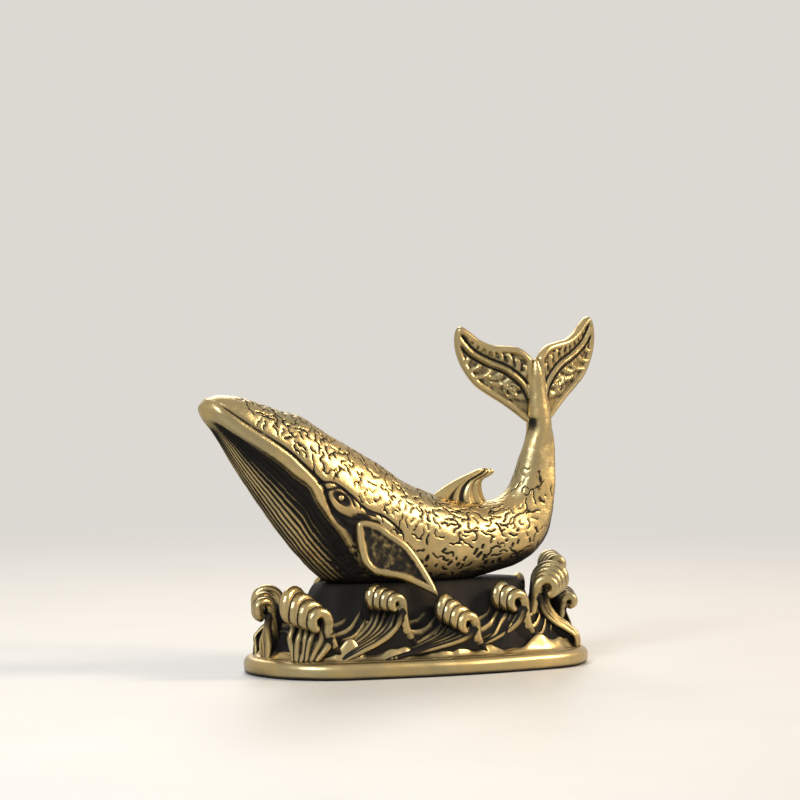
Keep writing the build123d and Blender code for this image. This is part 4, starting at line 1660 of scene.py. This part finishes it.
@dataclass
class Sea:
    """The swell that carries the whale: a foam edge, furrowed troughs and the mound under the belly."""

    rings: int = 170
    ring_points: int = 560
    near_crests: tuple = (-15.3, -8.6, 1.0, 8.0, 13.4)
    near_ends: tuple = (-19.0, 19.5)
    slope_rise: float = 3.3
    slope_gaps: tuple = (1.1, 4.1)
    bank_gaps: tuple = (0.35, 1.5)
    crest_rise: float = 1.1
    crest_reach: float = 2.1
    strand_spacing: float = 0.74
    strand_gaps: tuple = (1.5, 2.3)
    shade_gaps: tuple = (3.0, 4.4)
    strand_height: float = 0.55
    foam_peaks: tuple = (-15.0, -11.1, -6.2, -1.1, 4.3, 10.5, 15.6)
    peak_height: float = 0.50
    gully_place: float = 0.78
    gully_depth: float = 0.50
    mound_top: float = 8.9
    mound_length_share: float = 0.67
    mound_width_share: float = 0.47

    def trough_share(self, x: np.ndarray) -> np.ndarray:
        """Gives how far each place is from one near crest to the next, 0 to 1.

        Args:
            x: Places along the plinth.

        Returns:
            The share at each place.
        """
        crests = np.array(self.near_crests)
        after = np.searchsorted(crests, x)
        left = np.where(after == 0, self.near_ends[0], crests[np.maximum(after - 1, 0)])
        right = np.where(after == len(crests), self.near_ends[1], crests[np.minimum(after, len(crests) - 1)])
        return np.clip((x - left) / (right - left), 0, 1)

    def mound(self, flat: np.ndarray, folds: np.ndarray) -> np.ndarray:
        """Gives the height of the mound under the belly, and 0 beside it.

        Args:
            flat: Places on the plan.
            folds: How far the mound's edge is moved in at each.

        Returns:
            The mound's height.
        """
        length, width = self.mound_length_share * PLINTH_LENGTH, self.mound_width_share * PLINTH_WIDTH
        gap, side, _ = line_distance(flat, looped(oval_outline(length, width, 160)))
        rise = smooth_step(-1.9, 1.5, np.where(side > 0, gap, -gap) + folds)
        return np.where(rise > 0, WATER_LEVEL + (self.mound_top - WATER_LEVEL) * rise, 0.0)

    def surface(self, flat: np.ndarray, edge_gap: np.ndarray) -> tuple[np.ndarray, np.ndarray]:
        """Gives the water's height and tone.

        Args:
            flat: Places on the plan.
            edge_gap: Distance in from the foam's edge.

        Returns:
            The height and the tone.
        """
        noise, place = Noise(3), raised(flat, 0.0)
        phase = self.trough_share(flat[..., 0] + 0.5 * noise.at(place, 6.0))
        smile = 0.66 + 0.50 * phase**2 + 0.42 * (1 - phase) ** 2.5
        bank = smooth_step(*self.bank_gaps, edge_gap)
        height = PLINTH_THICKNESS + SEAT_DEPTH + (FOAM_HEIGHT - 0.35) * bank
        height = height + self.slope_rise * smooth_step(*self.slope_gaps, edge_gap) * smile
        for crest in CRESTS:
            base = (crest.roll_centre(0.0) + crest.roll_centre(1.0)) / 2
            away = np.hypot(flat[..., 0] - base[0], 1.1 * (flat[..., 1] - base[1]))
            height += self.crest_rise * bell(away, self.crest_reach) * smooth_step(0.6, 2.0, edge_gap)
        lines = edge_gap - 1.5 * phase**2.2 - 0.9 * (1 - phase) ** 3 + 0.14 * noise.at(place, 2.2)
        strand = (1 - np.abs(np.sin(np.pi * lines / self.strand_spacing))) ** 1.2
        height += self.strand_height * (strand - 0.4) * smooth_step(1.2, 1.7, edge_gap)
        # the foam's edge, low and wavy, with small peaks and a dark gully behind it
        rough = np.clip(2.0 * noise.at(place + 9.0, 3.0), -0.5, 0.8)
        height += rough * bank * (1 - smooth_step(1.2, 3.2, edge_gap))
        wander = 0.75 + 0.45 * noise.at(place, 2.6)
        peaks = np.clip(noise.at(place + 40.0, 3.4), 0, 1)
        foam = bell(edge_gap - wander, 0.40 + 0.25 * peaks)
        height += foam * (0.30 + 0.25 * noise.at(place, 1.7) + 0.7 * peaks)
        for middle in self.foam_peaks:
            spot = np.exp(-(((flat[..., 0] - middle) / 1.6) ** 2) - ((edge_gap - 1.0) / 0.55) ** 2)
            height += self.peak_height * spot
        gully = edge_gap - wander - self.gully_place
        height -= self.gully_depth * bell(gully, 0.26)
        height = PLINTH_THICKNESS + (height - PLINTH_THICKNESS) * smooth_step(-0.35, 1.15, edge_gap)
        height = np.maximum(height, self.mound(flat, 0.35 * noise.at(place, 2.4)))
        # bright foam, then bright strands, then painted shade on the water from the troughs up to the whale
        tone = np.where(edge_gap < wander, 1.0, 0.25 + 0.75 * foam)
        tone = tone + (0.95 * strand**0.7 - tone) * smooth_step(*self.strand_gaps, edge_gap)
        # painted shade: the water goes dark inward of the crests and under the whale
        tone *= 1 - smooth_step(*self.shade_gaps, edge_gap)
        tone *= 1 - 0.8 * bell(gully, 0.30)
        return np.minimum(height, self.mound_top), np.clip(tone, 0, 1)

    def build(self) -> bpy.types.Object:
        """Makes the water, with an uneven edge, and dresses it.

        Returns:
            The water piece.
        """
        length, width = PLINTH_LENGTH - 2 * FOAM_MARGIN, PLINTH_WIDTH - 2 * FOAM_MARGIN
        outline = oval_outline(length, width, self.ring_points)
        place = raised(outline, 0.0)
        inset = 0.32 * np.clip(Noise(8).at(place, 1.7) + 0.6 * Noise(9).at(place, 0.9), -0.2, 1)
        outline = outline * (1 - (0.1 + inset) / np.linalg.norm(outline, axis=1))[:, None]
        shares = np.linspace(1, 0, self.rings + 1)[:-1] ** 0.85
        flat = outline[None, :, :] * shares[:, None, None]
        gap = line_distance(flat, np.concatenate([outline[::4], outline[:1]]))[0]
        height, tone = self.surface(flat, gap)
        seat = PLINTH_THICKNESS - SEAT_DEPTH
        height[0] = seat
        grid = np.concatenate([raised(flat[:1] * 0.5, seat), raised(flat, height)])
        piece = closed_piece("sea_swell_cast", [grid])
        return dress(piece, np.concatenate([tone[:1], tone]), Brass.WATER, "sea_swell")


@dataclass
class Plinth:
    """The rounded oval plate that everything stands on, with a hand-finished edge."""

    ring_points: int = 520
    top_round: float = 0.75
    bottom_round: float = 0.45
    waviness: float = 0.13
    under_insets: tuple = (6.0, 2.0)
    top_insets: tuple = (1.4, 3.0, 6.0)

    def profile(self) -> list:
        """Lists the edge's profile from the underside to the top: inset and height.

        Returns:
            Insets from the outline, each with its height.
        """
        steps = [(inset, 0.0) for inset in self.under_insets]
        for turn in np.linspace(0, math.pi / 2, 9):
            steps.append((self.bottom_round * (1 - math.sin(turn)), self.bottom_round * (1 - math.cos(turn))))
        shoulder = PLINTH_THICKNESS - self.top_round
        steps += [(0.0, height) for height in np.linspace(self.bottom_round, shoulder, 5)[1:-1]]
        for turn in np.linspace(0, math.pi / 2, 13):
            height = PLINTH_THICKNESS - self.top_round * (1 - math.sin(turn))
            steps.append((self.top_round * (1 - math.cos(turn)), height))
        return steps + [(inset, PLINTH_THICKNESS) for inset in self.top_insets]

    def build(self) -> bpy.types.Object:
        """Makes the plinth and dresses it.

        Returns:
            The plinth piece.
        """
        noise = Noise(17)
        rings = []
        for inset, height in self.profile():
            flat = oval_outline(PLINTH_LENGTH - 2 * inset, PLINTH_WIDTH - 2 * inset, self.ring_points)
            place = raised(flat, height)
            on_edge = 1 - smooth_step(0.6, 1.6, inset)
            pull = self.waviness * (0.5 + 0.5 * noise.at(place, (3.5, 3.5, 1.2))) * on_edge * (height > 0)
            place[:, :2] -= unit(flat) * pull[:, None]
            rings.append(place)
        return dress(closed_piece("plinth_cast", [np.stack(rings)]), 1.0, Brass.PLINTH, "plinth")


@dataclass
class Lamp:
    """A soft square lamp that faces the figurine; places and sizes are in metres."""

    name: str
    place: tuple
    size: float
    watts: float
    colour: tuple
    aim: tuple = (0, 0, 0.015)

    def build(self) -> None:
        """Hangs the lamp."""
        data = bpy.data.lights.new(self.name, "AREA")
        data.size, data.energy, data.color = self.size, self.watts, self.colour
        lamp = bpy.data.objects.new(self.name, data)
        lamp.location = self.place
        lamp.rotation_euler = (Vector(self.aim) - Vector(self.place)).to_track_quat("-Z", "Y").to_euler()
        bpy.context.scene.collection.objects.link(lamp)


@dataclass
class Studio:
    """A pale floor, soft lamps and the camera at the photograph's angle; lengths are in metres."""

    camera_place: tuple = (-0.155529, -0.301199, 0.037842)
    camera_back: tuple = (-0.4538, -0.8906, 0.0314)
    lens: float = 150.0
    sensor: float = 36.0
    clip_start: float = 0.01
    floor_reach: float = 3.0
    floor_light: tuple = (0.68, 0.66, 0.63, 1.0)
    floor_dark: tuple = (0.62, 0.60, 0.57, 1.0)
    floor_roughness: float = 0.45
    floor_fade: tuple = (0.05, 0.22)
    backdrop: tuple = (0.72, 0.69, 0.65, 1.0)
    around: tuple = (0.42, 0.42, 0.42, 1.0)
    lamps: tuple = (
        Lamp("key_lamp", (-0.30, -0.22, 0.30), 0.14, 1.3, (0.84, 0.93, 1.0)),
        Lamp("warm_lamp", (0.30, -0.20, 0.22), 0.10, 1.4, (1.0, 0.80, 0.54)),
        Lamp("rim_lamp", (0.10, 0.34, 0.30), 0.25, 0.8, (1.0, 0.97, 0.92)),
    )

    def camera(self) -> None:
        """Adds the camera and makes it the scene's."""
        data = bpy.data.cameras.new("studio_camera")
        data.lens, data.sensor_width, data.clip_start = self.lens, self.sensor, self.clip_start
        camera = bpy.data.objects.new("studio_camera", data)
        back = Vector(self.camera_back).normalized()
        right = Vector((0, 0, 1)).cross(back).normalized()
        turn = Matrix((right, back.cross(right), back)).transposed().to_4x4()
        camera.matrix_world = Matrix.Translation(self.camera_place) @ turn
        bpy.context.scene.collection.objects.link(camera)
        bpy.context.scene.camera = camera

    def floor(self) -> None:
        """Adds the pale floor, which far off takes the backdrop's colour, so no horizon shows."""
        ends = ((-1, -1), (1, -1), (1, 1), (-1, 1))
        corners = np.array([(x, y, 0) for x, y in ends]) * self.floor_reach / MM
        floor = make_mesh("studio_floor", corners, [(0, 1, 2, 3)])
        material = bpy.data.materials.new("studio_floor_paint")
        material.use_nodes = True
        nodes, plan = material.node_tree.nodes, NodePlan(material.node_tree)
        place = plan.own_place()
        tint = plan.mix(plan.noise(place, 60.0, 5.0), self.floor_dark, self.floor_light)
        paint = plan.fill(nodes["Principled BSDF"], {"Base Color": tint, "Roughness": self.floor_roughness})
        away = plan.add("ShaderNodeVectorMath", {"Vector": place}, operation="LENGTH").outputs["Value"]
        share = plan.maths("MULTIPLY", plan.ramp(away, *self.floor_fade), plan.seen_directly())
        glow = plan.add("ShaderNodeEmission", {"Color": self.backdrop, "Strength": 1.0})
        values = {0: share, 1: paint.outputs["BSDF"], 2: glow.outputs["Emission"]}
        blend = plan.add("ShaderNodeMixShader", values)
        plan.fill(nodes["Material Output"], {"Surface": blend.outputs["Shader"]})
        floor.data.materials.append(material)
        floor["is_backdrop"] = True

    def world(self) -> None:
        """Adds the backdrop that the camera and reflections see, over a plain fill light."""
        world = bpy.data.worlds.new("studio_world")
        bpy.context.scene.world = world
        world.use_nodes = True
        plan = NodePlan(world.node_tree)
        colour = plan.mix(plan.seen_directly(), self.around, self.backdrop)
        plan.fill(world.node_tree.nodes["Background"], {"Color": colour, "Strength": 1.0})

    def build(self) -> None:
        """Sets the whole studio up."""
        self.camera()
        self.floor()
        self.world()
        for lamp in self.lamps:
            lamp.build()
        bpy.context.scene.view_settings.view_transform = "Standard"


def dress_peg(frame: dict) -> None:
    """Gives the hidden peg, which stays as packed, its brass.

    Args:
        frame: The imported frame.
    """
    peg = frame["nodes"]["belly_peg"]
    peg.data.materials.clear()
    peg.data.materials.append(Brass.BEADS.value.material())


def main() -> list:
    """Builds every piece in order.

    Returns:
        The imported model's box, as its lowest and highest corners.
    """
    logging.basicConfig(level=logging.INFO)
    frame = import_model()
    box = [list(corner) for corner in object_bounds()]
    Studio().build()
    for part in (Plinth(), Sea(), *CRESTS):
        LOG.info("made %s", part.build().name)
    body = WhaleBody()
    LOG.info("made %s", body.build().name)
    LOG.info("made %s", body.build_eyes().name)
    for side in Side:
        LOG.info("made %s", Flipper(side).build().name)
    for lobe in Flukes().build():
        LOG.info("made %s", lobe.name)
    LOG.info("made %s", DorsalFin().build().name)
    dress_peg(frame)
    return box


if __name__ == "__main__":
    CAD_BOX = main()
